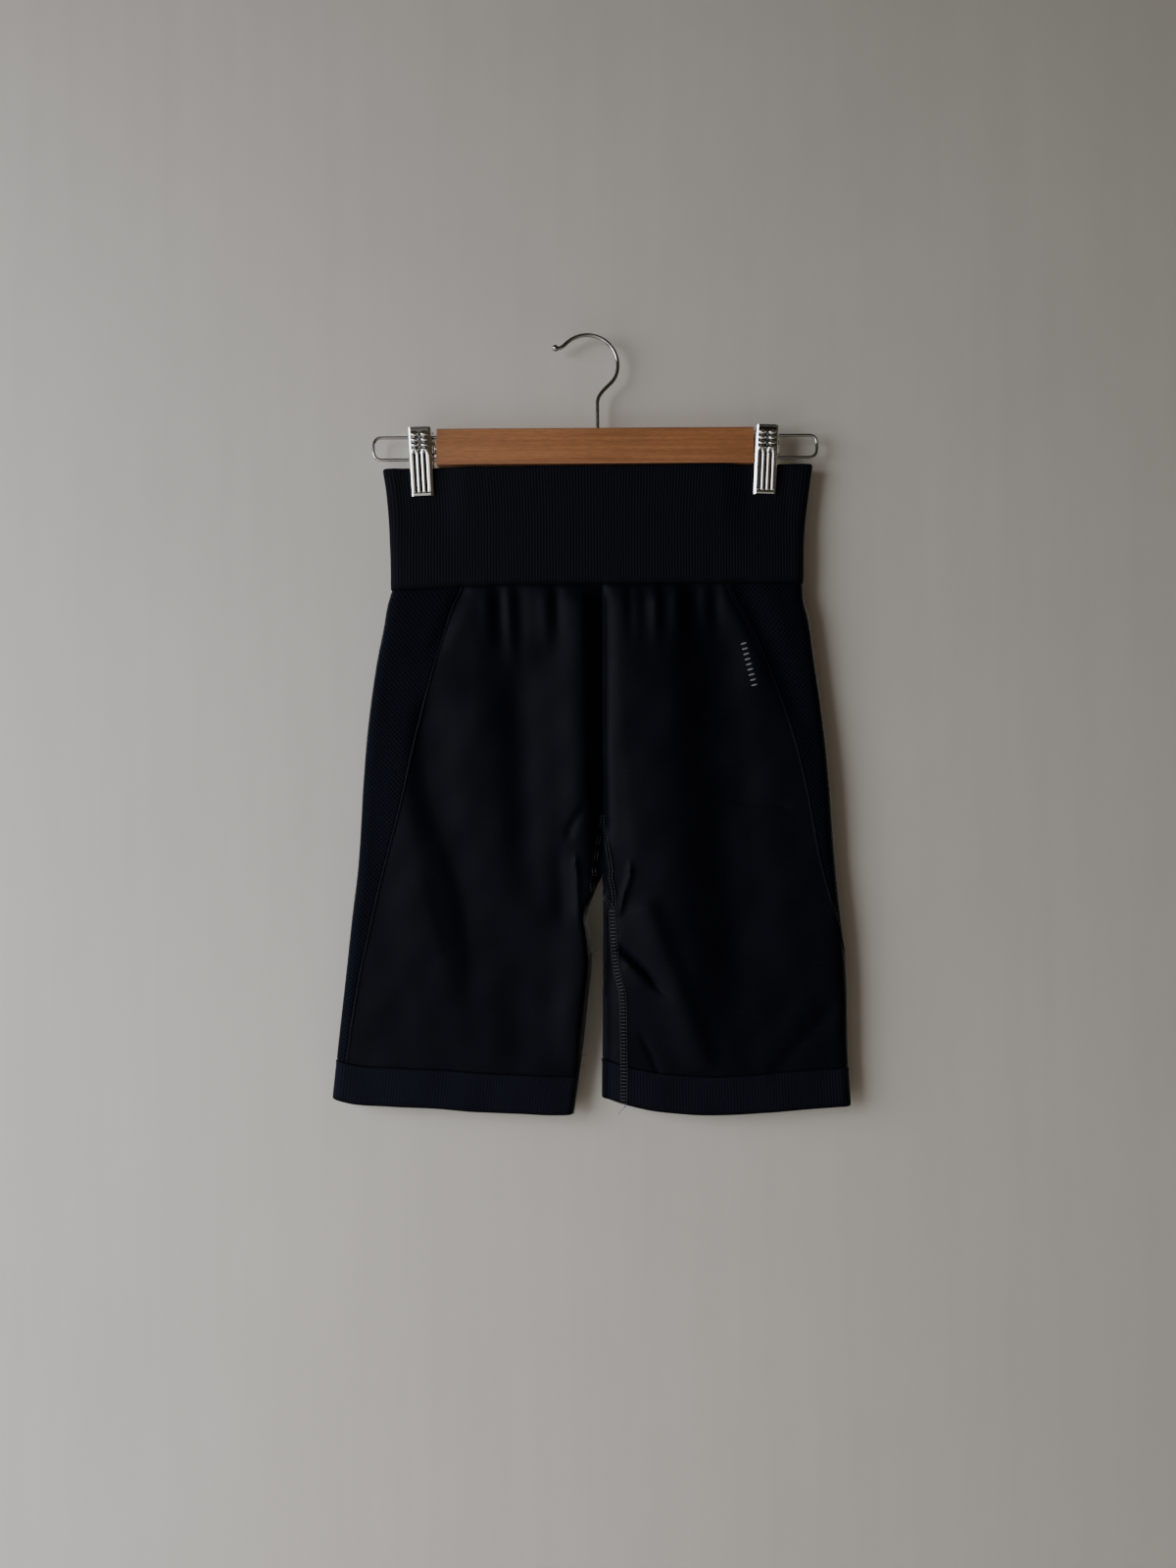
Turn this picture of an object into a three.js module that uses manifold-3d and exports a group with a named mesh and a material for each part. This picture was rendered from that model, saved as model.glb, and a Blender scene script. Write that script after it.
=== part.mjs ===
// Cycling shorts on a clip hanger: high-waist knitted shorts, pressed flat, held at the waistband by two
// steel clips that slide on the wire loops of a wooden bar.
//
// Millimetres. The origin is the highest point inside the hook, where the hanger rests. +X is to the right
// seen from the front, +Y is away from the viewer and +Z is up. Left and right are as seen from the front.
import * as THREE from "three";
import { mergeVertices } from "three/addons/utils/BufferGeometryUtils.js";
import Module from "manifold-3d";

const wasm = await Module();
wasm.setup();

// ---------------------------------------------------------------- driving sizes

const GAP = 0.3;                    // between pieces that meet
const GUSSET_GAP = 0.7;             // round the gusset, where the cloth turns sharply
const HEM_GAP = 0.55;               // above the hem bands
const BODY_WALL = 1.4;              // plain knit of the legs
const BAND_WALL = 2.4;              // waistband, knitted double
const HEM_WALL = 1.8;               // turned rib at the leg ends

const WAIST_TOP = -99.4;            // level of the waistband's upper edge
const WAIST_SEAM = -193;            // level where the waistband meets the legs
const CROTCH = -408;                // level where the legs part
const GUSSET_TOP = CROTCH + 42;     // where the notches for the gusset start in front and behind
const GUSSET_FOOT = CROTCH - 30;    // and where they start on the two inseams
const GUSSET_TIP = GUSSET_TOP - 2;  // the gusset's own front and back points
const HEM_TOP = -557;               // level of the hem bands' upper edges, before the hem's own sway
const HEM_FOOT = -587;              // leg ends, before the hem's own sway
const CENTRE_X = 10;                // centre front and back fold line
const EDGE_ROUND = 8;               // how far in from a side fold the cloth starts to round
const FOLD_ROUND = 6;               // the same at a leg's inner fold
const SIDE_DEPTH = 0.75;            // share of its depth that the cloth of the legs keeps at a side fold
const SIDE_TAPER = 60;              // how far in from a side fold it has its full depth
const TAPER_TOP = -196;             // level where that thinning starts under the waistband
const TAPER_FULL = -270;            // level where it has all its effect
const CROTCH_DEPTH = 0.52;          // share of its depth that the cloth keeps at the crotch
const INNER_DEPTH = 0.75;           // the same at a leg's inner fold
const CROTCH_SPREAD = 26;           // how wide the dip over the crotch is
const GUSSET_HALF = 7;              // half the gusset's width in front of the crotch

// Where the jaws press the waistband flat: beside a clip, past the clips and down the band.
const PINCH = { full: 13, none: 36, past: 0.8, top: -126, foot: -172, spare: 0.25 };

const BAR = { x: 6.5, z: -84.6, length: 241, depth: 13, height: 27, chamfer: 1 };
const WIRE = { radius: 1.2, rise: 8.45, reach: 49, corner: 6.5, inside: 20 };
const HOOK = { radius: 1.5, bend: 23.4, stem: 8.4, inside: 13, ball: 2.6 };
const CLIP = {
  width: 17.6, top: -71, foot: -122, sheet: 1, gripDepth: 10.5, jawDepth: 4.9, lip: 2.2,
  lean: 2, left: -126.6, right: 136.6, jaw: 3.1, coil: 6.6, coilLength: 13, coilOut: 2.4,
};

// How far the seam under the waistband rises at its left end and from there to its right end.
const SEAM_RISE = { left: -0.5, right: 2.8 };

// Side folds and depth at each level, from the waistband down. left and right are the two side folds,
// depth is half the thickness of the flattened tube.
const OUTLINE = [
  { z: -99, left: -156, right: 172.5, depth: 6 },
  { z: -120, left: -153, right: 169.5, depth: 6 },
  { z: -150, left: -151, right: 166, depth: 6 },
  { z: -193, left: -150.5, right: 165, depth: 6.2 },
  { z: -205, left: -153.5, right: 165.5, depth: 7 },
  { z: -220, left: -156, right: 169.2, depth: 7.6 },
  { z: -250, left: -162, right: 173.4, depth: 8 },
  { z: -295, left: -168.5, right: 179.5, depth: 8.2 },
  { z: -340, left: -172.5, right: 184, depth: 8 },
  { z: -400, left: -176.5, right: 187.8, depth: 7.6 },
  { z: -445, left: -182, right: 192, depth: 7.4 },
  { z: -490, left: -187, right: 196, depth: 7.2 },
  { z: -550, left: -193.5, right: 196.8, depth: 7 },
  { z: -590, left: -198, right: 199, depth: 6.8 },
];

// Inner folds of the legs below the crotch.
const INNER = [
  { z: -408, left: 8.6, right: 9.2 },
  { z: -422, left: 5.2, right: 10 },
  { z: -440, left: -2.2, right: 9.9 },
  { z: -458, left: -0.2, right: 9.8 },
  { z: -477, left: 1.2, right: 9.7 },
  { z: -500, left: -1.4, right: 9.5 },
  { z: -540, left: -6.6, right: 9 },
  { z: -590, left: -14, right: 8.3 },
];

// Lines between the plain front or back and the mesh side panels: distance from the side fold along the
// cloth. A minus sign means that the line has gone round the fold to the other face.
const SIDE_LINES = [
  { z: -193, leftFront: 57, leftBack: 60, rightFront: 58, rightBack: 62 },
  { z: -220, leftFront: 52, leftBack: 54, rightFront: 49, rightBack: 56 },
  { z: -253, leftFront: 47.5, leftBack: 49, rightFront: 38, rightBack: 52 },
  { z: -305, leftFront: 40.5, leftBack: 44, rightFront: 27, rightBack: 50 },
  { z: -352, leftFront: 33.5, leftBack: 38, rightFront: 20, rightBack: 46 },
  { z: -404, leftFront: 23, leftBack: 33, rightFront: 13.5, rightBack: 42 },
  { z: -451, leftFront: 17.5, leftBack: 28, rightFront: 5, rightBack: 38 },
  { z: -492, leftFront: 13, leftBack: 24, rightFront: -3, rightBack: 34 },
  { z: -560, leftFront: 10, leftBack: 21, rightFront: -10, rightBack: 31 },
];

// Inseams: how far each lies in front of its leg's inner fold. The right leg hangs a little turned, so its
// seam shows and a strip of the back comes round to the front.
const INSEAMS = [
  { z: -441, left: 0, right: 10 },
  { z: -468, left: 0, right: 12 },
  { z: -485, left: 0, right: 14 },
  { z: -502, left: 0, right: 18 },
  { z: -560, left: 0, right: 19.5 },
];

// How far the hem sways from its level, across each leg from the inner fold, 0, to the side fold, 1.
const HEM_SWAY = [
  { across: 0, left: -7, right: 5.6 },
  { across: 0.1, left: -6.8, right: 0.2 },
  { across: 0.22, left: -5.6, right: -4.5 },
  { across: 0.4, left: -4, right: -7.5 },
  { across: 0.55, left: -1.5, right: -7.2 },
  { across: 0.75, left: 0.4, right: -4.6 },
  { across: 0.9, left: 2, right: -2.8 },
  { across: 1, left: 6, right: -2 },
];

// Largest folds: each is a soft ridge (height above 0) or trough (below 0) along a line, on one face.
const FOLDS = [
  // face, where it starts, where it ends, half its width, its height
  { face: "front", x0: -77, z0: -196, x1: -79, z1: -240, half: 7, height: 1.6 },
  { face: "front", x0: -68, z0: -196, x1: -66, z1: -250, half: 7, height: -2 },
  { face: "front", x0: -60, z0: -196, x1: -57, z1: -246, half: 6, height: 1.2 },
  { face: "front", x0: -52, z0: -196, x1: -50, z1: -450, half: 13, height: -2.2 },
  { face: "front", x0: -33, z0: -196, x1: -28, z1: -262, half: 7, height: 1.6 },
  { face: "front", x0: -10, z0: -196, x1: -5, z1: -450, half: 13, height: 3 },
  { face: "front", x0: 11.4, z0: -196, x1: 11.4, z1: -392, half: 9, height: -3.6 },
  { face: "front", x0: 25, z0: -196, x1: 30, z1: -372, half: 8, height: 1.2 },
  { face: "front", x0: 57, z0: -196, x1: 72, z1: -470, half: 24, height: 2.6 },
  { face: "front", x0: 58, z0: -196, x1: 57, z1: -244, half: 6, height: -1.7 },
  { face: "front", x0: 93, z0: -196, x1: 112, z1: -540, half: 22, height: -2.6 },
  { face: "front", x0: 18, z0: -462, x1: 62, z1: -501, half: 6, height: -2.2 },
  { face: "front", x0: 42, z0: -430, x1: 88, z1: -556, half: 10, height: 1.6 },
  { face: "front", x0: -134, z0: -290, x1: -110, z1: -484, half: 12, height: 1.6 },
  { face: "front", x0: -122, z0: -300, x1: -88, z1: -500, half: 15, height: -2.2 },
  { face: "back", x0: -70, z0: -196, x1: -64, z1: -262, half: 9, height: 1.7 },
  { face: "back", x0: -46, z0: -196, x1: -44, z1: -250, half: 8, height: -1.8 },
  { face: "back", x0: -22, z0: -196, x1: -24, z1: -300, half: 9, height: 1.9 },
  { face: "back", x0: 10, z0: -196, x1: 10, z1: -386, half: 9, height: -3 },
  { face: "back", x0: 36, z0: -196, x1: 34, z1: -280, half: 9, height: 1.9 },
  { face: "back", x0: 58, z0: -196, x1: 60, z1: -250, half: 8, height: -1.7 },
  { face: "back", x0: 84, z0: -196, x1: 88, z1: -300, half: 9, height: 1.5 },
];

// Grid of the legs: levels of the rows, and how many strips each face of a half has.
const BODY_ROWS = [-193, -201, -210, -221, -234, -250, -270, -294, -320, -348, GUSSET_TOP, -381, -395, CROTCH,
  -424, -433, GUSSET_FOOT, -458, -478, -500, -528, HEM_TOP];
const BAND_ROWS = [WAIST_TOP, -106, -121, -138, -160, -178, WAIST_SEAM];
const HEM_ROWS = [HEM_TOP + GAP - HEM_GAP, -573, HEM_FOOT];
const FRONT_STRIPS = 13;
const BACK_STRIPS = 9;
const SIDE_STRIPS = 8;
const BAND_STRIPS = 10;
const HEM_STRIPS = 13;
const FOLD_STRIPS = 5;              // beside the centre line and round the inner folds
const FOLD_MARGIN = 5;              // how far past the gusset's width those strips start

// ---------------------------------------------------------------- small helpers

const lerp = THREE.MathUtils.lerp;

/** Eases from 0 to 1 as a value goes from one limit to the other. */
function ease(value, from, to) {
  const t = THREE.MathUtils.clamp((value - from) / (to - from), 0, 1);
  return t * t * (3 - 2 * t);
}

/** A table's column at a level, on a smooth curve through its rows. */
function read(table, key, level, column) {
  const sign = Math.sign(table[1][key] - table[0][key]);
  let i = 0;
  while (i < table.length - 2 && sign * (level - table[i + 1][key]) > 0) i += 1;
  const slope = (k) => {
    const a = table[Math.max(k - 1, 0)];
    const b = table[Math.min(k + 1, table.length - 1)];
    return (b[column] - a[column]) / (b[key] - a[key]);
  };
  const [low, high] = [table[i], table[i + 1]];
  const width = high[key] - low[key];
  const t = THREE.MathUtils.clamp((level - low[key]) / width, 0, 1);
  const [t2, t3] = [t * t, t * t * t];
  return (2 * t3 - 3 * t2 + 1) * low[column] + (t3 - 2 * t2 + t) * width * slope(i)
    + (3 * t2 - 2 * t3) * high[column] + (t3 - t2) * width * slope(i + 1);
}

/** Evenly spaced values, both ends included. */
function spaced(from, to, steps) {
  return Array.from({ length: steps + 1 }, (_, i) => lerp(from, to, i / steps));
}

/** Length of a quarter of an ellipse. */
function quarter(a, b) {
  return (Math.PI / 2) * Math.sqrt((a * a + b * b) / 2);
}

// ---------------------------------------------------------------- the cloth's surface

/** 1 under the clips' jaws, where the waistband is pressed flat, and 0 away from them. */
function pinch(x, z) {
  const away = Math.min(Math.abs(x - CLIP.left), Math.abs(x - CLIP.right));
  const beyond = x < CLIP.left || x > CLIP.right ? PINCH.past : 0;
  return Math.max(1 - ease(away, PINCH.full, PINCH.none), beyond) * ease(z, PINCH.foot, PINCH.top);
}

/** Half depth of the tube at a place, before its folds. */
function depthAt(x, z) {
  const plain = read(OUTLINE, "z", z, "depth");
  const pressed = BAND_WALL + PINCH.spare;
  const nearCrotch = Math.exp(-(((x - CENTRE_X) / CROTCH_SPREAD) ** 2));
  const keep = z > CROTCH ? lerp(CROTCH_DEPTH, 1, ease(z, CROTCH, CROTCH + 110))
    : lerp(CROTCH_DEPTH, INNER_DEPTH, ease(z, CROTCH, CROTCH - 70));
  const inside = Math.min(x - read(OUTLINE, "z", z, "left"), read(OUTLINE, "z", z, "right") - x);
  const taper = lerp(1, lerp(SIDE_DEPTH, 1, ease(inside, 0, SIDE_TAPER)), ease(z, TAPER_TOP, TAPER_FULL));
  return lerp(plain, pressed, pinch(x, z)) * (1 - (1 - keep) * nearCrotch) * taper;
}

/** Height of the folds of one face at a place. */
function foldsAt(face, x, z) {
  let height = 0;
  for (const fold of FOLDS) {
    if (fold.face !== face) continue;
    const [dx, dz] = [fold.x1 - fold.x0, fold.z1 - fold.z0];
    const length = Math.hypot(dx, dz);
    const along = ((x - fold.x0) * dx + (z - fold.z0) * dz) / length;
    const aside = ((x - fold.x0) * dz - (z - fold.z0) * dx) / length;
    const ends = ease(along, -4, 14) * (1 - ease(along, length * 0.55, length));
    height += fold.height * ends * Math.exp(-((aside / fold.half) ** 2));
  }
  return height;
}

/** Sizes of one half's section: side is -1 on the left and 1 on the right. */
function sectionOf(side, z, leg) {
  const outer = read(OUTLINE, "z", z, side < 0 ? "left" : "right");
  const inner = leg ? read(INNER, "z", z, side < 0 ? "left" : "right") : CENTRE_X;
  const turn = leg ? FOLD_ROUND * ease(CROTCH - z, 0, 22) : 0;
  const start = lerp(inner, CENTRE_X, leg ? 1 - ease(CROTCH - z, 0, 12) : 0);
  const edgeDepth = depthAt(outer - side * EDGE_ROUND, z);
  const foldDepth = depthAt(start + side * turn, z);
  const edgeArc = quarter(EDGE_ROUND, edgeDepth);
  const foldArc = leg ? quarter(turn, foldDepth) : 0;
  const flat = Math.abs(outer - start) - EDGE_ROUND - turn;
  return { side, outer, inner: start, turn, foldDepth, edgeArc, foldArc, length: edgeArc + flat + foldArc };
}

/**
 * A point of the cloth's outer surface. place is the distance from the side fold along the cloth, above 0 on
 * the front and below 0 on the back, and it goes on past a leg's inner fold to the other face.
 */
function clothPoint(side, place, z, leg) {
  const s = sectionOf(side, z, leg);
  let at = place;
  if (at > s.length && leg) at -= 2 * s.length;
  if (at < -s.length && leg) at += 2 * s.length;
  const face = at >= 0 ? "front" : "back";
  const far = Math.min(Math.abs(at), s.length);
  let x;
  let depth;
  let loose = 1;
  if (far < s.edgeArc) {
    const turned = (far / s.edgeArc) * (Math.PI / 2);
    x = s.outer - s.side * EDGE_ROUND * (1 - Math.cos(turned));
    loose = Math.sin(turned);
    depth = depthAt(s.outer - s.side * EDGE_ROUND, z) * loose;
  } else if (!leg || far <= s.length - s.foldArc) {
    x = s.outer - s.side * (EDGE_ROUND + far - s.edgeArc);
    depth = depthAt(x, z);
  } else {
    const turned = ((s.length - far) / s.foldArc) * (Math.PI / 2);
    x = s.inner + s.side * s.turn * (1 - Math.cos(turned));
    loose = Math.sin(turned);
    depth = s.foldDepth * loose;
  }
  const gathered = z > WAIST_SEAM - 1e-6 ? 0 : foldsAt(face, x, z) * loose ** 2;
  const out = (depth + gathered) * (face === "front" ? -1 : 1);
  return new THREE.Vector3(x, out, z + leanAt(x, z) + swayAt(s, x, z));
}

/** The waistband's top edge leans a little, and the seam under it rises from its left end. */
function leanAt(x, z) {
  const top = 0.005 * (x - CENTRE_X) * ease(z, -150, WAIST_TOP);
  const seam = lerp(SEAM_RISE.left, SEAM_RISE.right, ease(x, -150, -50));
  return top + seam * ease(z, -255, WAIST_SEAM) * (1 - ease(z, WAIST_SEAM, WAIST_TOP));
}

/** The hems sway up and down round each leg. */
function swayAt(section, x, z) {
  if (z > -470) return 0;
  const across = THREE.MathUtils.clamp((x - section.inner) / (section.outer - section.inner), 0, 1);
  return read(HEM_SWAY, "across", across, section.side < 0 ? "left" : "right") * ease(z, -470, HEM_TOP);
}

/** The way out of the cloth at a point, from its neighbours on the surface. */
function clothNormal(side, place, z, leg) {
  const step = 0.4;
  const [high, low] = [leg && z + step > CROTCH ? z : z + step, !leg && z - step < CROTCH ? z : z - step];
  const across = clothPoint(side, place + step, z, leg).sub(clothPoint(side, place - step, z, leg));
  const up = clothPoint(side, place, high, leg).sub(clothPoint(side, place, low, leg));
  return across.cross(up).multiplyScalar(-side).normalize();
}

// ---------------------------------------------------------------- from grids to walls

/** One half's grid: rows of { side, leg, z, places } become rows of points with their normals. */
function gridOf(rows) {
  return rows.map((row) => row.places.map((place) => ({
    point: clothPoint(row.side, place, row.z, row.leg),
    normal: clothNormal(row.side, place, row.z, row.leg),
  })));
}

/** A closed wall of cloth: the grids' surface, its inner face one wall further in, and the rim between. */
function wallOf(grids, thickness) {
  const corners = [];
  const found = new Map();
  const numberOf = ({ point, normal }) => {
    const key = point.toArray().map((v) => Math.round(v * 1e3)).join();
    if (!found.has(key)) {
      found.set(key, corners.length);
      corners.push({ point, normal: new THREE.Vector3() });
    }
    corners[found.get(key)].normal.add(normal);
    return found.get(key);
  };
  const faces = [];
  for (const { rows, turned } of grids) {
    const numbers = rows.map((row) => row.map(numberOf));
    for (let j = 0; j + 1 < rows.length; j += 1) {
      for (let i = 0; i + 1 < rows[j].length; i += 1) {
        const [a, b, c, d] = [numbers[j][i], numbers[j][i + 1], numbers[j + 1][i + 1], numbers[j + 1][i]];
        const pair = turned ? [[a, b, c], [a, c, d]] : [[a, c, b], [a, d, c]];
        faces.push(...pair.filter((f) => new Set(f).size === 3));
      }
    }
  }
  const used = new Set(faces.flatMap((f) => f.map((v, k) => `${v},${f[(k + 1) % 3]}`)));
  const inner = corners.length;
  const positions = [
    ...corners.flatMap(({ point }) => point.toArray()),
    ...corners.flatMap(({ point, normal }) => (
      point.clone().addScaledVector(normal.normalize(), -thickness).toArray())),
  ];
  const index = [];
  for (const f of faces) {
    index.push(...f, f[0] + inner, f[2] + inner, f[1] + inner);
    for (let k = 0; k < 3; k += 1) {
      const [v, w] = [f[k], f[(k + 1) % 3]];
      if (used.has(`${w},${v}`)) continue;
      // The rim's diagonal starts from its higher end, so that the two rims of a seam lie alike.
      const down = corners[v].point.z > corners[w].point.z;
      if (down) index.push(w, v, w + inner, v, v + inner, w + inner);
      else index.push(w, v, v + inner, w, v + inner, w + inner);
    }
  }
  const geometry = new THREE.BufferGeometry();
  geometry.setAttribute("position", new THREE.Float32BufferAttribute(positions, 3));
  geometry.setIndex(index);
  geometry.computeVertexNormals();
  return geometry;
}

// ---------------------------------------------------------------- cloth pieces

const SIDES = [-1, 1];
const HALF_GAP = GAP / 2;

/** Where a side line lies at a level, as a place on the cloth. */
function sideLine(side, face, z) {
  const name = (side < 0 ? "left" : "right") + (face > 0 ? "Front" : "Back");
  return face * read(SIDE_LINES, "z", Math.max(z, HEM_TOP), name);
}

/** Where the gusset's middle lies before the inner fold, and half its width, at a level under the crotch. */
function gussetAt(side, z) {
  const foot = ease(CROTCH - z, 0, CROTCH - GUSSET_FOOT);
  const seam = read(INSEAMS, "z", GUSSET_FOOT, side < 0 ? "left" : "right");
  const full = GUSSET_HALF + sectionOf(side, CROTCH, true).foldArc;
  return { middle: seam * foot, half: full * (1 - (CROTCH - z) / (CROTCH - GUSSET_FOOT)) };
}

/** The inner border of the front (face 1) or back (face -1), as a place on the cloth. */
function innerBorder(side, face, z, leg) {
  const length = sectionOf(side, z, leg).length;
  if (!leg) {
    const width = GUSSET_HALF * THREE.MathUtils.clamp((GUSSET_TOP - z) / (GUSSET_TOP - CROTCH), 0, 1);
    return face * (length - width - (width > 0 ? HALF_GAP : 0));
  }
  if (z > GUSSET_FOOT + 1e-6) {
    const { middle, half } = gussetAt(side, z);
    return face > 0 ? length - middle - half - HALF_GAP : -(length + middle - half - HALF_GAP);
  }
  const seam = read(INSEAMS, "z", z, side < 0 ? "left" : "right");
  return face > 0 ? length - seam - HALF_GAP : -(length + seam - HALF_GAP);
}

/** The front or back panel: two halves that share the centre line above the gusset. */
function mainPanel(face, strips) {
  const grids = [];
  for (const side of SIDES) {
    const rowsOf = (levels, leg) => levels.map((z) => {
      const level = z === WAIST_SEAM ? z - GAP : Math.max(z, HEM_TOP + GAP);
      const section = sectionOf(side, level, leg);
      const start = sideLine(side, face, level) + HALF_GAP * face;
      const turn = face * (section.length - section.foldArc - GUSSET_HALF - FOLD_MARGIN);
      const end = innerBorder(side, face, level, leg);
      const places = [...spaced(start, turn, strips), ...spaced(turn, end, FOLD_STRIPS).slice(1)];
      return { side, leg, z: level, places };
    });
    const body = gridOf(rowsOf(BODY_ROWS.filter((z) => z >= CROTCH), false));
    const leg = gridOf(rowsOf(BODY_ROWS.filter((z) => z <= CROTCH), true));
    const turned = side * face > 0;
    grids.push({ rows: body, turned }, { rows: leg, turned });
  }
  return wallOf(grids, BODY_WALL);
}

/** A mesh side panel, from the front side line round the side fold to the back one. */
function sidePanel(side) {
  const rows = BODY_ROWS.map((z) => {
    const level = z === WAIST_SEAM ? z - GAP : Math.max(z, HEM_TOP + GAP);
    const front = sideLine(side, 1, level) - HALF_GAP;
    const back = sideLine(side, -1, level) + HALF_GAP;
    return { side, leg: z < CROTCH, z: level, places: spaced(back, front, SIDE_STRIPS) };
  });
  return wallOf([{ rows: gridOf(rows), turned: side > 0 }], BODY_WALL);
}

/** The gusset: a diamond with points in front, behind and on the two inseams. */
function gussetPiece() {
  const grids = [];
  const above = BODY_ROWS.filter((z) => z >= CROTCH && z <= GUSSET_TOP);
  const below = BODY_ROWS.filter((z) => z <= CROTCH && z >= GUSSET_FOOT);
  for (const side of SIDES) {
    for (const face of SIDES) {
      const rows = above.map((z) => {
        const level = Math.min(z, GUSSET_TIP);
        const length = sectionOf(side, level, false).length;
        const border = Math.abs(innerBorder(side, face, level, false)) + GUSSET_GAP;
        const places = [border, (border + length) / 2, length].map((p) => p * face);
        return { side, leg: false, z: level, places };
      });
      grids.push({ rows: gridOf(rows), turned: side * face > 0 });
    }
    const { half } = gussetAt(side, CROTCH);
    const atFold = sectionOf(side, CROTCH, true).foldArc / (half + HALF_GAP - GUSSET_GAP);
    const steps = [1, (1 + atFold) / 2, atFold, atFold / 2, 0, -atFold / 2, -atFold, -(1 + atFold) / 2, -1];
    const rows = below.map((z) => {
      const level = Math.max(z, GUSSET_FOOT + 2 * GAP);
      const g = gussetAt(side, level);
      const length = sectionOf(side, level, true).length;
      const reach = Math.max(g.half + HALF_GAP - GUSSET_GAP, 0);
      return { side, leg: true, z: level, places: steps.map((k) => length - g.middle - reach * k) };
    });
    grids.push({ rows: gridOf(rows), turned: side > 0 });
  }
  return wallOf(grids, BODY_WALL);
}

/** Places once round a half's section: front and back of the half, with more strips where the cloth turns. */
function roundPlaces(section, strips, leg) {
  const turns = leg ? 4 : 3;
  const flatEnd = section.length - section.foldArc;
  const front = [...spaced(0, section.edgeArc, turns), ...spaced(section.edgeArc, flatEnd, strips).slice(1)];
  if (leg) front.push(...spaced(flatEnd, section.length, turns).slice(1));
  return [...front.slice(1).reverse().map((p) => -p), ...front];
}

/** The waistband: one ring of two halves that meet at the centre lines. */
function waistbandPiece() {
  const grids = SIDES.map((side) => ({
    rows: gridOf(BAND_ROWS.map((z) => (
      { side, leg: false, z, places: roundPlaces(sectionOf(side, z, false), BAND_STRIPS, false) }))),
    turned: side > 0,
  }));
  return wallOf(grids, BAND_WALL);
}

/** A ribbed ring at a leg's end. */
function hemBand(side) {
  const rows = HEM_ROWS.map((z) => ({
    side, leg: true, z, places: roundPlaces(sectionOf(side, z, true), HEM_STRIPS, true),
  }));
  return wallOf([{ rows: gridOf(rows), turned: side > 0 }], HEM_WALL);
}

// ---------------------------------------------------------------- hard pieces

/** A closed geometry as a manifold solid. */
function solidOf(geometry) {
  const bare = geometry.index ? geometry.toNonIndexed() : geometry.clone();
  bare.deleteAttribute("normal");
  bare.deleteAttribute("uv");
  const merged = mergeVertices(bare, 1e-4);
  return new wasm.Manifold(new wasm.Mesh({
    numProp: 3,
    vertProperties: Float32Array.from(merged.attributes.position.array),
    triVerts: Uint32Array.from(merged.index.array),
  }));
}

/** A manifold solid as a geometry. */
function geometryOf(solid) {
  const { numProp, vertProperties, triVerts } = solid.getMesh();
  const geometry = new THREE.BufferGeometry();
  const count = vertProperties.length / numProp;
  const positions = new Float32Array(count * 3);
  for (let i = 0; i < count; i += 1) {
    for (let k = 0; k < 3; k += 1) positions[i * 3 + k] = vertProperties[i * numProp + k];
  }
  geometry.setAttribute("position", new THREE.BufferAttribute(positions, 3));
  geometry.setIndex(Array.from(triVerts));
  geometry.computeVertexNormals();
  return geometry;
}

/** A rod along X, from one x to another. */
function rodAlongX(radius, from, to, y, z, sides) {
  const rod = new THREE.CylinderGeometry(radius, radius, to - from, sides);
  rod.rotateZ(Math.PI / 2);
  return rod.translate((from + to) / 2, y, z);
}

/** A round section for wires. */
function roundSection(radius, sides) {
  const shape = new THREE.Shape();
  for (let i = 0; i < sides; i += 1) {
    const angle = (i / sides) * 2 * Math.PI;
    const [x, y] = [radius * Math.cos(angle), radius * Math.sin(angle)];
    if (i) shape.lineTo(x, y);
    else shape.moveTo(x, y);
  }
  shape.closePath();
  return shape;
}

/** A wire that follows a path. */
function wireAlong(path, radius, sides, steps) {
  return new THREE.ExtrudeGeometry(roundSection(radius, sides), { extrudePath: path, steps, bevelEnabled: false });
}

/** A path in the XZ plane, from straight lines and bends. */
class FlatPath extends THREE.Curve {
  constructor(plan) {
    super();
    this.plan = plan;
  }

  getPoint(t, target = new THREE.Vector3()) {
    const { x, y } = this.plan.getPoint(t);
    return target.set(x, 0, y);
  }
}

/** The wooden bar, with holes for the two loops and for the hook's stem. */
function barPiece() {
  const [d, h, c] = [BAR.depth / 2, BAR.height / 2, BAR.chamfer];
  const outline = new THREE.Shape([
    [-d + c, -h], [d - c, -h], [d, -h + c], [d, h - c], [d - c, h], [-d + c, h], [-d, h - c], [-d, -h + c],
  ].map(([y, z]) => new THREE.Vector2(y, z)));
  const blank = new THREE.ExtrudeGeometry(outline, { depth: BAR.length, bevelEnabled: false });
  // The section's x and y become the bar's depth and height, and the extrusion runs along X.
  blank.applyMatrix4(new THREE.Matrix4().makeBasis(
    new THREE.Vector3(0, 1, 0), new THREE.Vector3(0, 0, 1), new THREE.Vector3(1, 0, 0)));
  blank.translate(BAR.x - BAR.length / 2, 0, BAR.z);
  let bar = solidOf(blank);
  const hole = WIRE.radius + GAP;
  for (const side of SIDES) {
    const end = BAR.x + side * BAR.length / 2;
    const [from, to] = [end + side * 5, end - side * (WIRE.inside + GAP)];
    for (const rise of [-WIRE.rise, WIRE.rise]) {
      const drill = rodAlongX(hole, Math.min(from, to), Math.max(from, to), 0, BAR.z + rise, 12);
      bar = bar.subtract(solidOf(drill));
    }
  }
  const socket = new THREE.CylinderGeometry(HOOK.radius + GAP, HOOK.radius + GAP, 20, 12);
  socket.rotateX(Math.PI / 2);
  socket.translate(HOOK.stem, 0, BAR.z + h - HOOK.inside - GAP + 10);
  return geometryOf(bar.subtract(solidOf(socket)));
}

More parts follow.
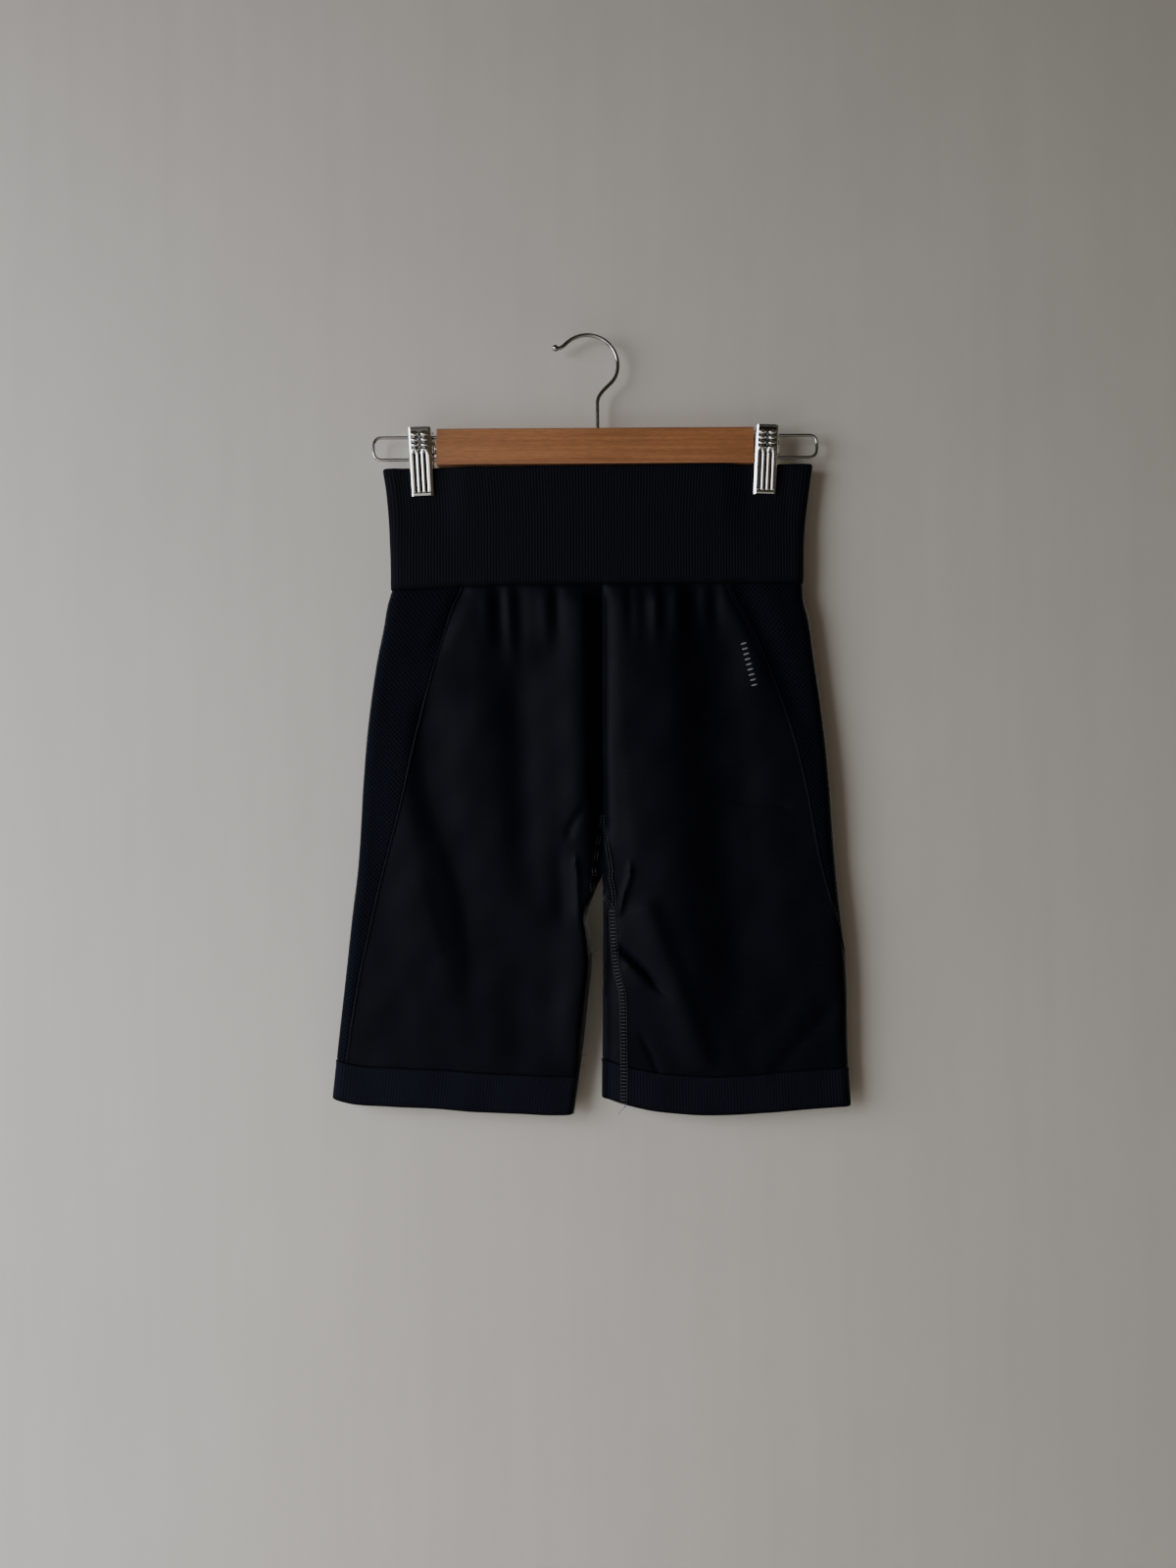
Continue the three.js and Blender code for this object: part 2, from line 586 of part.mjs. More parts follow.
/** A steel loop that comes out of one end of the bar. */
function wireLoop(side) {
  const inside = BAR.x + side * (BAR.length / 2 - WIRE.inside);
  const end = BAR.x + side * (BAR.length / 2 + WIRE.reach);
  const bend = end - side * WIRE.corner;
  const [low, high] = [BAR.z - WIRE.rise, BAR.z + WIRE.rise];
  const plan = new THREE.CurvePath();
  const v = (x, y) => new THREE.Vector2(x, y);
  plan.add(new THREE.LineCurve(v(inside, high), v(bend, high)));
  plan.add(new THREE.QuadraticBezierCurve(v(bend, high), v(end, high), v(end, high - WIRE.corner)));
  plan.add(new THREE.LineCurve(v(end, high - WIRE.corner), v(end, low + WIRE.corner)));
  plan.add(new THREE.QuadraticBezierCurve(v(end, low + WIRE.corner), v(end, low), v(bend, low)));
  plan.add(new THREE.LineCurve(v(bend, low), v(inside, low)));
  return wireAlong(new FlatPath(plan), WIRE.radius, 8, 56);
}

/** The steel hook: a stem, a slanted shank, a round bend and a small reverse curve with a ball at its tip. */
function hookPiece() {
  const centre = new THREE.Vector2(0.75, HOOK.radius - HOOK.bend);
  const onBend = (degrees) => new THREE.Vector2(
    centre.x + HOOK.bend * Math.cos(THREE.MathUtils.degToRad(degrees)),
    centre.y + HOOK.bend * Math.sin(THREE.MathUtils.degToRad(degrees)));
  const [bendStart, bendEnd] = [-10, 128];
  const [foot, neck, shank] = [BAR.z + BAR.height / 2 - HOOK.inside, -50.5, onBend(bendStart)];
  const tip = new THREE.Vector2(-23.5, -8.2);
  const plan = new THREE.CurvePath();
  plan.add(new THREE.LineCurve(new THREE.Vector2(HOOK.stem, foot), new THREE.Vector2(HOOK.stem, neck)));
  plan.add(new THREE.QuadraticBezierCurve(
    new THREE.Vector2(HOOK.stem, neck), new THREE.Vector2(HOOK.stem, neck + 3),
    new THREE.Vector2(HOOK.stem + 2, neck + 6.2)));
  plan.add(new THREE.CubicBezierCurve(
    new THREE.Vector2(HOOK.stem + 2, neck + 6.2), new THREE.Vector2(HOOK.stem + 7.6, neck + 14.2),
    shank.clone().add(new THREE.Vector2(-1.6, -9)), shank));
  const arc = new THREE.Path();
  arc.absarc(centre.x, centre.y, HOOK.bend,
    THREE.MathUtils.degToRad(bendStart), THREE.MathUtils.degToRad(bendEnd), false);
  plan.add(arc.curves[0]);
  const last = onBend(bendEnd);
  plan.add(new THREE.CubicBezierCurve(last, last.clone().add(new THREE.Vector2(-3.6, -2.8)),
    tip.clone().add(new THREE.Vector2(4.6, -1.2)), tip));
  const wire = solidOf(wireAlong(new FlatPath(plan), HOOK.radius, 10, 64));
  const ball = new THREE.SphereGeometry(HOOK.ball, 14, 10);
  ball.translate(tip.x, 0, tip.y);
  return geometryOf(wire.add(solidOf(ball)));
}

/** One pressed half of a clip: a leaning face, two side flanges that bear on the wires, and the jaw's lip. */
function clipHalf(face, side) {
  const { width, sheet } = CLIP;
  const [top, foot] = [CLIP.top - BAR.z, CLIP.foot - BAR.z];
  const rest = WIRE.radius + GAP;
  const shoulder = -WIRE.rise - 3;
  const profile = (inset) => {
    const [y0, y1] = [CLIP.gripDepth - inset, CLIP.jawDepth - inset];
    const flange = inset ? -5 : rest;
    const jaw = inset ? -5 : CLIP.jaw;
    return new THREE.Shape([
      [y0, top + (inset ? 1 : 0)], [y1, inset ? foot + CLIP.lip : foot], [jaw, inset ? foot + CLIP.lip : foot],
      [jaw, shoulder - 1.6], [flange, shoulder], [flange, 13], [5, top + (inset ? 1 : 0)],
    ].map(([y, z]) => new THREE.Vector2(y, z)));
  };
  const extruded = (inset) => {
    const across = width - 2 * inset;
    const block = new THREE.ExtrudeGeometry(profile(inset), { depth: across, bevelEnabled: false });
    block.applyMatrix4(new THREE.Matrix4().makeBasis(
      new THREE.Vector3(0, 1, 0), new THREE.Vector3(0, 0, 1), new THREE.Vector3(1, 0, 0)));
    block.translate(-across / 2, 0, 0);
    return solidOf(block);
  };
  let half = extruded(0).subtract(extruded(sheet));
  half = half.subtract(solidOf(rodAlongX(CLIP.coil + GAP, -width, width, 0, 0, 24)));
  for (const rise of [-WIRE.rise, WIRE.rise]) {
    half = half.subtract(solidOf(rodAlongX(WIRE.radius + 2 * GAP, -width, width, 0, rise, 12)));
  }
  const geometry = geometryOf(half);
  // Built behind the wires; the front half is the same piece turned round.
  if (face < 0) geometry.rotateZ(Math.PI);
  return placedOnLoop(geometry, side);
}

/** A clip's coil spring, as the ring that its turns fill, with the arms left to its inside. */
function clipSpring(side) {
  const { coil, coilLength } = CLIP;
  const bore = coil - 1.6;
  const ring = new THREE.LatheGeometry([[bore, 0], [coil, 0], [coil, coilLength], [bore, coilLength], [bore, 0]]
    .map(([r, h]) => new THREE.Vector2(r, h)), 20);
  ring.rotateZ(-Math.PI / 2);
  ring.translate(-coilLength / 2, 0, 0);
  // It stands a little out of the clip on its right side.
  ring.translate(CLIP.width / 2 + CLIP.coilOut - coilLength / 2, 0, 0);
  return placedOnLoop(ring, side);
}

/** Leans a clip's piece and puts it on its loop. */
function placedOnLoop(geometry, side) {
  geometry.rotateY(THREE.MathUtils.degToRad(side * CLIP.lean));
  geometry.translate(side < 0 ? CLIP.left : CLIP.right, 0, BAR.z);
  return geometry;
}

// ---------------------------------------------------------------- materials and the finished group

const ribKnit = new THREE.MeshStandardMaterial({ color: "#14161c", roughness: 0.9, metalness: 0 });
const plainKnit = new THREE.MeshStandardMaterial({ color: "#191a1f", roughness: 0.88, metalness: 0 });
const meshKnit = new THREE.MeshStandardMaterial({ color: "#171a24", roughness: 0.92, metalness: 0 });
const wood = new THREE.MeshStandardMaterial({ color: "#a0693f", roughness: 0.45, metalness: 0 });
const steel = new THREE.MeshStandardMaterial({ color: "#b8b9bb", roughness: 0.2, metalness: 1 });
const chrome = new THREE.MeshStandardMaterial({ color: "#d4d6d8", roughness: 0.12, metalness: 1 });

const garment = new THREE.Group();

/** Adds a named piece to the group. */
function add(name, geometry, material) {
  const mesh = new THREE.Mesh(geometry, material);
  mesh.name = name;
  garment.add(mesh);
}

add("waistband", waistbandPiece(), ribKnit);
add("front_panel", mainPanel(1, FRONT_STRIPS), plainKnit);
add("back_panel", mainPanel(-1, BACK_STRIPS), plainKnit);
add("gusset", gussetPiece(), plainKnit);
add("hanger_bar", barPiece(), wood);
add("hook", hookPiece(), steel);
for (const side of SIDES) {
  const name = side < 0 ? "left" : "right";
  add(`side_panel_${name}`, sidePanel(side), meshKnit);
  add(`hem_band_${name}`, hemBand(side), ribKnit);
  add(`wire_loop_${name}`, wireLoop(side), steel);
  add(`clip_front_${name}`, clipHalf(-1, side), chrome);
  add(`clip_back_${name}`, clipHalf(1, side), chrome);
  add(`clip_spring_${name}`, clipSpring(side), steel);
}

export default garment;
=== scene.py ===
"""High-waist knitted cycling shorts on a wooden clip hanger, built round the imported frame.

Tables and functions work in millimetres and meshes are in metres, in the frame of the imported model: +X to the
viewer's right, +Y away, +Z up, with the origin at the highest point inside the hanger's hook.
"""
import math
from types import SimpleNamespace

import bpy
import numpy as np
from bpy.props import FloatProperty, FloatVectorProperty, IntProperty, PointerProperty
from mathutils import Matrix, Vector


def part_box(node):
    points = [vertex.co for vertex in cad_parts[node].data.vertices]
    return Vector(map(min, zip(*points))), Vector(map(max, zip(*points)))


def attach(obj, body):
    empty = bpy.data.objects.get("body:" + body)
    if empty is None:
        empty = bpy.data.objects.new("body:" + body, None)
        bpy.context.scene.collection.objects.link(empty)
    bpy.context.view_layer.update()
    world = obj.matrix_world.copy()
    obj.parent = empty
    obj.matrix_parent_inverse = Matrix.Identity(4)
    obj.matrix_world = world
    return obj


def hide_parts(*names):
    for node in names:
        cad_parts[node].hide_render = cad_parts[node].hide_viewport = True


bl_info = {
    "name": "Cycling Shorts on a Clip Hanger",
    "version": (1, 0, 0),
    "blender": (4, 5, 0),
    "location": "View3D > Sidebar > Shorts",
    "description": "Builds knitted cycling shorts that hang flat from a wooden hanger by two steel clips",
    "category": "Add Mesh",
}

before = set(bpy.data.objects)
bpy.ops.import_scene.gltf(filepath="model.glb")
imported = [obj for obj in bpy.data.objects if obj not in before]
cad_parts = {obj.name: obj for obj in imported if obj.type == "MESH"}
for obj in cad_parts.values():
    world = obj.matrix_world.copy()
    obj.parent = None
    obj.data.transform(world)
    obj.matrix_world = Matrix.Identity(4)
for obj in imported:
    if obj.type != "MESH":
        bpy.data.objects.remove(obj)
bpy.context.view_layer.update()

MM = 0.001


def middle_and_size(node, axis):
    """Where the middle of one of the frame's nodes lies along an axis, and the node's size that way."""
    low, high = (corner[axis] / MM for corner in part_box(node))
    return round((low + high) / 2, 2), round(high - low, 2)


# ---------------------------------------------------------------- driving sizes, as in the frame

BODY_WALL = 1.4             # plain knit of the legs
BAND_WALL = 2.4             # waistband, knitted double
HEM_WALL = 1.8              # turned rib at the leg ends
WAIST_TOP = -99.4           # waistband's upper edge
WAIST_SEAM = -193.0         # where the waistband meets the legs
CROTCH = -408.0             # where the legs part
GUSSET_TOP = CROTCH + 42    # front and back points of the gusset
GUSSET_FOOT = CROTCH - 30   # its points on the two inseams
HEM_TOP = -557.0            # hem bands' upper edges, before the hem's own sway
HEM_FOOT = -587.0           # leg ends, before the hem's own sway
CENTRE_X = 10.0             # centre front and back line
EDGE_ROUND = 8.0            # how far in from a side fold the cloth starts to round
FOLD_ROUND = 6.0            # the same at a leg's inner fold
SIDE_DEPTH = 0.75           # share of its depth that the cloth of the legs keeps at a side fold
SIDE_TAPER = 60.0           # how far in from a side fold it has its full depth
CROTCH_DEPTH = 0.52         # share of its depth that the cloth keeps at the crotch
INNER_DEPTH = 0.75          # the same at a leg's inner fold
CROTCH_SPREAD = 26.0        # how wide the dip over the crotch is
GUSSET_HALF = 7.0           # half the gusset's width in front of the crotch
SEAM_GAP = 0.03             # left between two pieces that meet in a seam
SEAM_RISE = (-0.5, 2.8)     # how far the seam under the waistband rises at its left end and further right
SEAM_SPAN = (-150, -50)     # where along its width it does so
SEAM_BELOW = -255.0         # level below it where that has died away
TOP_SLOPE = 0.005           # how steeply the waistband's top edge leans
TOP_BELOW = -150.0          # level below it where that has died away
SWAY_FROM = 470             # how far down the hems' sway starts
LOOSE_LEVELS = (196, 240)   # how far down the cloth's unevenness starts and is whole
TAPER_LEVELS = (196, 270)   # how far down the side taper starts and is whole
CROTCH_REACH = (110, 70)    # how far above and below the crotch the cloth is thinner
FOLD_REACH = (12, 22)       # how far under the crotch an inner fold has its place, and is fully round
HEM_RIM = 0.45              # how far the hem bands' upper edges stand out
BAND_SIDE = 320             # one side of the waistband, over which its ribs are shared out
HEM_ROUND = 375             # the way round a hem band, for the same
BACK_TURN = 1.9             # by how much of a wave the back's unevenness is ahead, in radians
SHARP_ANGLE = 50            # degrees from which an edge is shaded sharp
MERGED_PER_MM = 500         # steps to a millimetre, within which points are merged

# Under a clip the waistband is pressed flat as far as near from the clip's middle, and swells until far.
# Outside the clips it keeps a share of that. The press sets in between two levels, and the jaws leave room.
PINCH = SimpleNamespace(near=13, far=36, outside=0.8, levels=(-172, -126), room=0.25)

BAR = SimpleNamespace()
BAR.x, BAR.length = middle_and_size("hanger_bar", 0)
BAR.z, BAR.height = middle_and_size("hanger_bar", 2)
RIDGE = 3.87                # pitch of the clips' ribs and of their rows of scales
# The clips' pressed pattern: sizes, and how far below the wires' middle each part starts and ends.
SCALE = SimpleNamespace(first=5.1, aside=3.75, half_width=2.9, half_height=1.8, rise=1.7, end=(3.2, 4.6))
RIB = SimpleNamespace(rise=1.7, sunk=1.05, start=(4.4, 6.0), end=(33.6, 34.9))
LIP = SimpleNamespace(middle=1.35, half=1.5, rise=1.15, start=(34.2, 35.2))
WIRE = SimpleNamespace(radius=1.2, rise=8.45, reach=49.0, corner=6.5, inside=20.0)
HOOK = SimpleNamespace(radius=1.5, bend=23.4, stem=8.4, inside=13.0, ball=2.6, middle=0.75, arc=(-10, 128),
                       neck=-50.5, tip=(-23.5, -8.2))
CLIP = SimpleNamespace(width=17.6, top=-71.0, foot=-122.0, grip=10.5, jaw_depth=4.9, jaw=3.1, lean=2.0,
                       coil=6.6, coil_length=13.0, coil_out=2.4, coil_wire=0.72, sheet=0.9)
CLIP_X = {-1: -126.6, 1: 136.6}   # where the left and the right clip hang
# The reflective dashes: their levels, where the row starts and ends, their spacing, size and height.
MARK = SimpleNamespace(levels=(-236.5, -267.5), x=(118.4, 126.3), pitch=3.8, size=(1.5, 5.4, 0.24), lift=0.06)
# In metres and degrees.
CAMERA = SimpleNamespace(place=(-0.0007, -0.9, -0.342), lens=27, sensor=36, roll=0.37)
WALL = SimpleNamespace(half=3.0, top=1.6, floor=-1.35, bend=0.35, front=-4.0)
DOME_RADIUS = 9.0

# -1 is the left half or the back, 1 the right half or the front. A side's column is its place in the tables.
SIDES = (-1, 1)
SIDE_NAMES = {-1: "left", 1: "right"}
COLUMN = {-1: 1, 1: 2}

# level, left side fold, right side fold, half depth of the flattened tube
OUTLINE = (
    (-99, -156, 172.5, 6), (-120, -153, 169.5, 6), (-150, -151, 166, 6), (-193, -150.5, 165, 6.2),
    (-205, -153.5, 165.5, 7), (-220, -156, 169.2, 7.6), (-250, -162, 173.4, 8), (-295, -168.5, 179.5, 8.2),
    (-340, -172.5, 184, 8), (-400, -176.5, 187.8, 7.6), (-445, -182, 192, 7.4), (-490, -187, 196, 7.2),
    (-550, -193.5, 196.8, 7), (-590, -198, 199, 6.8),
)
# level, left leg's inner fold, right leg's inner fold
INNER = (
    (-408, 8.6, 9.2), (-422, 5.2, 10), (-440, -2.2, 9.9), (-458, -0.2, 9.8), (-477, 1.2, 9.7),
    (-500, -1.4, 9.5), (-540, -6.6, 9), (-590, -14, 8.3),
)
# level, then how far the mesh panels' lines lie from the side fold: left front and back, right front and back
SIDE_LINES = (
    (-193, 57, 60, 58, 62), (-220, 52, 54, 49, 56), (-253, 47.5, 49, 38, 52), (-305, 40.5, 44, 27, 50),
    (-352, 33.5, 38, 20, 46), (-404, 23, 33, 13.5, 42), (-451, 17.5, 28, 5, 38), (-492, 13, 24, -3, 34),
    (-560, 10, 21, -10, 31),
)
# level, how far the left and right inseams lie in front of their inner folds
INSEAMS = ((-441, 0, 10), (-468, 0, 12), (-485, 0, 14), (-502, 0, 18), (-560, 0, 19.5))
# share of the way from inner fold to side fold, sway of the left and right hem
HEM_SWAY = (
    (0, -7, 5.6), (0.1, -6.8, 0.2), (0.22, -5.6, -4.5), (0.4, -4, -7.5), (0.55, -1.5, -7.2),
    (0.75, 0.4, -4.6), (0.9, 2, -2.8), (1, 6, -2),
)

# Folds: the line each follows as (x, z) points, half its width on the left and on the right, its height
# (below 0 for a trough), how long it takes to rise and to fade, and True where its bottom or crest is sharp.
GATHER = -187.0
FRONT_FOLDS = (
    (((-90, GATHER), (-108, -222), (-124, -254)), 5, 6, -1.6, 14, 30),
    (((-128, -262), (-139, -300), (-140, -340), (-135, -380), (-128, -420), (-118, -460), (-108, -510)),
     20, 9, 1.1, 30, 50),
    (((-114, -262), (-125, -300), (-123, -340), (-112, -380), (-98, -420), (-91, -460), (-88, -520)), 10, 26,
     -1.9, 30, 60),
    (((-84, GATHER), (-86, -240), (-88, -300), (-86, -350)), 22, 12, 0.7, 30, 60),
    (((-77, GATHER), (-75, -244)), 5, 5, 0.8, 16, 38),
    (((-69, GATHER), (-65, -262)), 6, 7, -1.5, 18, 54),
    (((-61, GATHER), (-58, -250)), 4, 4, 0.7, 16, 40),
    (((-53, GATHER), (-50, -272)), 6, 7, -1.3, 18, 60),
    (((-52, -235), (-54, -260), (-50, -320), (-50, -400), (-48, -450)), 14, 16, -2.2, 30, 80),
    (((-33, GATHER), (-31, -255)), 6, 6, 1.0, 18, 46),
    (((-24, GATHER), (-23, -244)), 5, 5, -1.2, 18, 40),
    (((-6, GATHER), (-5, -267), (-4, -341), (-2, -401), (-4, -460), (-13, -560)), 16, 8, 2.9, 22, 30),
    (((11.4, GATHER), (11.3, -267), (11.2, -341), (11.7, -378), (11.5, -400)), 8, 3.6, -4.2, 20, 30, True),
    (((0, -356), (-10, -368), (-19, -386)), 3, 4, -0.9, 6, 10),
    (((-10.7, -392), (-8.5, -448)), 1.3, 1.9, 1.7, 14, 18, True),
    (((-24, -385), (-20, -455)), 7, 6, -0.8, 20, 25),
    (((-50, -430), (-58, -550)), 16, 14, -1.0, 40, 40),
    (((24, GATHER), (25, -267), (31, -340), (38, -410), (40, -440)), 7, 12, 0.5, 18, 60),
    (((-172, -380), (-178, -440), (-183, -500), (-188, -550)), 12, 26, 0.8, 70, 20),
    (((170, -275), (180, -340), (186, -420), (190, -500), (192, -552)), 28, 12, 0.9, 70, 20),
    (((32, GATHER), (33, -246)), 4, 5, -1.0, 18, 44),
    (((42, GATHER), (44, -250)), 5, 6, -1.1, 18, 44),
    (((51, GATHER), (52, -242)), 4, 4, 0.8, 16, 40),
    (((58, GATHER), (58, -254)), 5, 6, -1.1, 18, 44),
    (((67, GATHER), (67, -240)), 4, 4, 0.7, 16, 36),
    (((79, GATHER), (80, -248)), 5, 6, -1.0, 18, 40),
    (((89, GATHER), (90, -242)), 4, 4, 0.7, 16, 36),
    (((97, GATHER), (98, -240)), 4, 5, -0.9, 16, 36),
    (((56, GATHER), (60, -260), (61, -320), (65, -400), (73, -460), (85, -520), (94, -550)), 36, 20, 2.6, 20,
     50),
    (((92, GATHER), (100, -260), (104, -320), (110, -400), (113, -460), (114, -520)), 22, 30, -2.8, 20, 60),
    (((98, GATHER), (118, -228), (140, -275)), 12, 8, 1.0, 14, 30),
    (((112, GATHER), (134, -228), (156, -280), (168, -315)), 9, 10, -1.8, 14, 40),
    (((31.2, -398), (30.6, -412), (26, -426), (22, -444)), 1.5, 1.4, 1.5, 10, 8, True),
    (((19, -466), (28, -472), (40, -483), (51, -495), (60, -501), (68, -503)), 1.4, 1.8, -3.0, 4, 30, True),
    (((13, -425), (14, -470), (13, -540), (12, -600)), 4, 7, -1.8, 20, 8),
    (((24, -476), (46, -497)), 5, 7, 1.1, 8, 20),
    (((40, -425), (50, -455), (60, -482), (73, -512), (90, -556)), 14, 9, 2.0, 14, 12),
    (((36, -528), (45, -543), (52, -560)), 2.2, 3, -0.9, 8, 4, True),
    (((190, -506), (166, -528), (150, -545), (133, -562)), 3.5, 7, -0.9, 16, 10),
    (((175, -500), (120, -552)), 9, 9, 0.6, 16, 16),
    (((108, -355), (156, -360)), 1.6, 1.6, -0.9, 10, 10, True),
)
BACK_FOLDS = (
    (((-98, GATHER), (-101, -240)), 6, 6, -1.2, 18, 36),
    (((-84, GATHER), (-80, -262)), 7, 6, 1.6, 18, 50),
    (((-70, GATHER), (-68, -246)), 5, 5, -1.6, 18, 36),
    (((-57, GATHER), (-54, -285)), 7, 6, 1.7, 18, 60),
    (((-43, GATHER), (-40, -252)), 5, 5, -2.0, 18, 44),
    (((-31, GATHER), (-30, -240)), 4.5, 5, 1.4, 18, 34),
    (((-16, GATHER), (-18, -300), (-20, -395)), 12, 10, 2.3, 22, 90),
    (((10, GATHER), (10, -300), (10, -405)), 8, 8, -3.6, 20, 12, True),
    (((31, GATHER), (33, -290), (34, -380)), 10, 12, 2.2, 22, 90),
    (((46, GATHER), (47, -246)), 4.5, 5, -1.6, 18, 36),
    (((60, GATHER), (61, -270)), 6, 6, 1.6, 18, 50),
    (((74, GATHER), (76, -240)), 5, 5, -1.7, 18, 34),
    (((90, GATHER), (94, -300)), 7, 8, 1.5, 18, 70),
    (((104, GATHER), (108, -246)), 5, 5, -1.2, 18, 36),
    (((-30, -395), (-80, -470)), 6, 8, -1.5, 14, 30),
    (((44, -392), (96, -462)), 8, 6, -1.6, 14, 30),
    (((-60, -300), (-72, -450)), 20, 20, 1.4, 60, 70),
    (((84, -300), (98, -470)), 18, 22, 1.4, 60, 70),
    (((-128, -380), (-112, -520)), 14, 14, -1.5, 50, 60),
    (((138, -400), (126, -520)), 14, 14, -1.4, 50, 60),
    (((-24, -470), (-40, -553)), 5, 8, -1.6, 16, 16, True),
    (((36, -500), (60, -553)), 5, 7, -1.4, 16, 14, True),
)
FRONT_GAIN, BACK_GAIN = 1.6, 1.1
# Gentle unevenness all over: wavelengths along x and z, phase, height.
UNEVEN = ((83, 61, 0.4, 0.2), (47, -118, 2.1, 0.18), (-36, 52, 4.0, 0.12), (29, 210, 1.3, 0.1),
          (140, -41, 5.2, 0.14))


# ---------------------------------------------------------------- colours and settings

def linear(code):
    """An sRGB hex colour as linear red, green and blue."""
    shares = [int(code[i:i + 2], 16) / 255 for i in (1, 3, 5)]
    return tuple(s / 12.92 if s <= 0.04045 else ((s + 0.055) / 1.055) ** 2.4 for s in shares)


def colour_setting(name, description, code):
    """A colour that a user may change."""
    return FloatVectorProperty(name=name, description=description, default=linear(code), subtype="COLOR",
                               size=3, min=0, max=1)


def length_setting(name, description, millimetres):
    """A length that a user may change."""
    return FloatProperty(name=name, description=description, default=millimetres * MM, min=0, unit="LENGTH",
                         precision=5)


def power_setting(name, description, watts):
    """A light's power that a user may change."""
    return FloatProperty(name=name, description=description, default=watts, min=0, subtype="POWER",
                         unit="POWER")


class ShortsCloth(bpy.types.PropertyGroup):
    """Sizes and colours of the knitted cloth"""

    rib_pitch: length_setting("Rib Pitch", "Distance between two ribs of the waistband and hems", 2.2)
    rib_height: length_setting("Rib Height", "Height of the waistband's ribs", 0.45)
    hem_rib_height: length_setting("Hem Rib Height", "Height of the hem bands' ribs", 0.12)
    bead_height: length_setting("Side Line Height", "Height of the knitted-in lines beside the mesh", 0.55)
    rib_colour: colour_setting("Rib Knit", "Colour of the waistband", "#0f1017")
    hem_colour: colour_setting("Hem Knit", "Colour of the hem bands", "#0d1019")
    plain_colour: colour_setting("Plain Knit", "Colour of the front, back and gusset", "#070810")
    mesh_colour: colour_setting("Mesh Knit", "Colour of the side panels", "#060911")


class ShortsSeams(bpy.types.PropertyGroup):
    """Sizes and colours of the stitching"""

    bar_pitch: length_setting("Bar Pitch", "Distance between the cross threads of the flat seams", 2.6)
    seam_width: length_setting("Seam Width", "Width of the flat seams", 4.8)
    stitch: length_setting("Stitch Length", "Length of a lockstitch", 2.3)
    thread: length_setting("Thread", "Thickness of the thread", 0.42)
    thread_colour: colour_setting("Thread", "Colour of the seam thread", "#26272c")
    mark_colour: colour_setting("Reflective Print", "Colour of the reflective dashes", "#66686c")


class ShortsHanger(bpy.types.PropertyGroup):
    """Sizes and colours of the hanger"""

    wood_colour: colour_setting("Wood", "Main colour of the bar", "#9d683f")
    grain_colour: colour_setting("Grain", "Colour of the darker grain", "#85532f")
    metal_colour: colour_setting("Chrome", "Colour of the clips' plating", "#d3d5d8")
    wire_colour: colour_setting("Wire", "Colour of the hook and loops", "#989899")
    coil_turns: IntProperty(name="Spring Turns", description="Turns of each clip's spring", default=8, min=2)


class ShortsStage(bpy.types.PropertyGroup):
    """Light and backdrop"""

    wall_colour: colour_setting("Wall", "Colour of the wall and floor", "#bdb8af")
    backdrop_colour: colour_setting("Backdrop", "Colour seen past the wall", "#b9b7b3")
    wall_place: length_setting("Wall Place", "How far behind the hook the wall stands", 12.5)
    window_power: power_setting("Window", "Power of the large soft light", 67)
    card_power: power_setting("Front Card", "Power of the weak broad light in front", 9)
    rear_power: power_setting("Rear Light", "Power of the light behind the wall", 85)


# ---------------------------------------------------------------- small helpers

def ease(value, start, end):
    """Eases from 0 to 1 as a value goes from one limit to the other."""
    t = np.clip((np.asarray(value, float) - start) / (end - start), 0, 1)
    return t * t * (3 - 2 * t)


def mix(low, high, share):
    """Between two values."""
    return low + (high - low) * share


def smooth(rows, column, at):
    """A table's column at each level, on a smooth curve through its rows."""
    keys = np.array([row[0] for row in rows], float)
    values = np.array([row[column] for row in rows], float)
    before = np.maximum(np.arange(len(keys)) - 1, 0)
    after = np.minimum(np.arange(len(keys)) + 1, len(keys) - 1)
    slopes = (values[after] - values[before]) / (keys[after] - keys[before])
    way = np.sign(keys[1] - keys[0])
    i = np.clip(np.searchsorted(way * keys, way * np.asarray(at, float)) - 1, 0, len(keys) - 2)
    width = keys[i + 1] - keys[i]
    t = np.clip((at - keys[i]) / width, 0, 1)
    return ((2 * t**3 - 3 * t**2 + 1) * values[i] + (t**3 - 2 * t**2 + t) * width * slopes[i]
            + (3 * t**2 - 2 * t**3) * values[i + 1] + (t**3 - t**2) * width * slopes[i + 1])


def quarter(a, b):
    """Length of a quarter of an ellipse."""
    return (math.pi / 2) * np.sqrt((a * a + b * b) / 2)


def bump(distance, width):
    """1 at a line and 0 away from it."""
    return np.exp(-(distance / width) ** 2)


# ---------------------------------------------------------------- the cloth's surface

def pinch(x, z):
    """1 under the clips' jaws, where the waistband is pressed flat, and 0 away from them."""
    under = np.maximum(*[1 - ease(abs(x - middle), PINCH.near, PINCH.far) for middle in CLIP_X.values()])
    outside = np.where((x < CLIP_X[-1]) | (x > CLIP_X[1]), PINCH.outside, 0)
    return np.maximum(under, outside) * ease(z, *PINCH.levels)


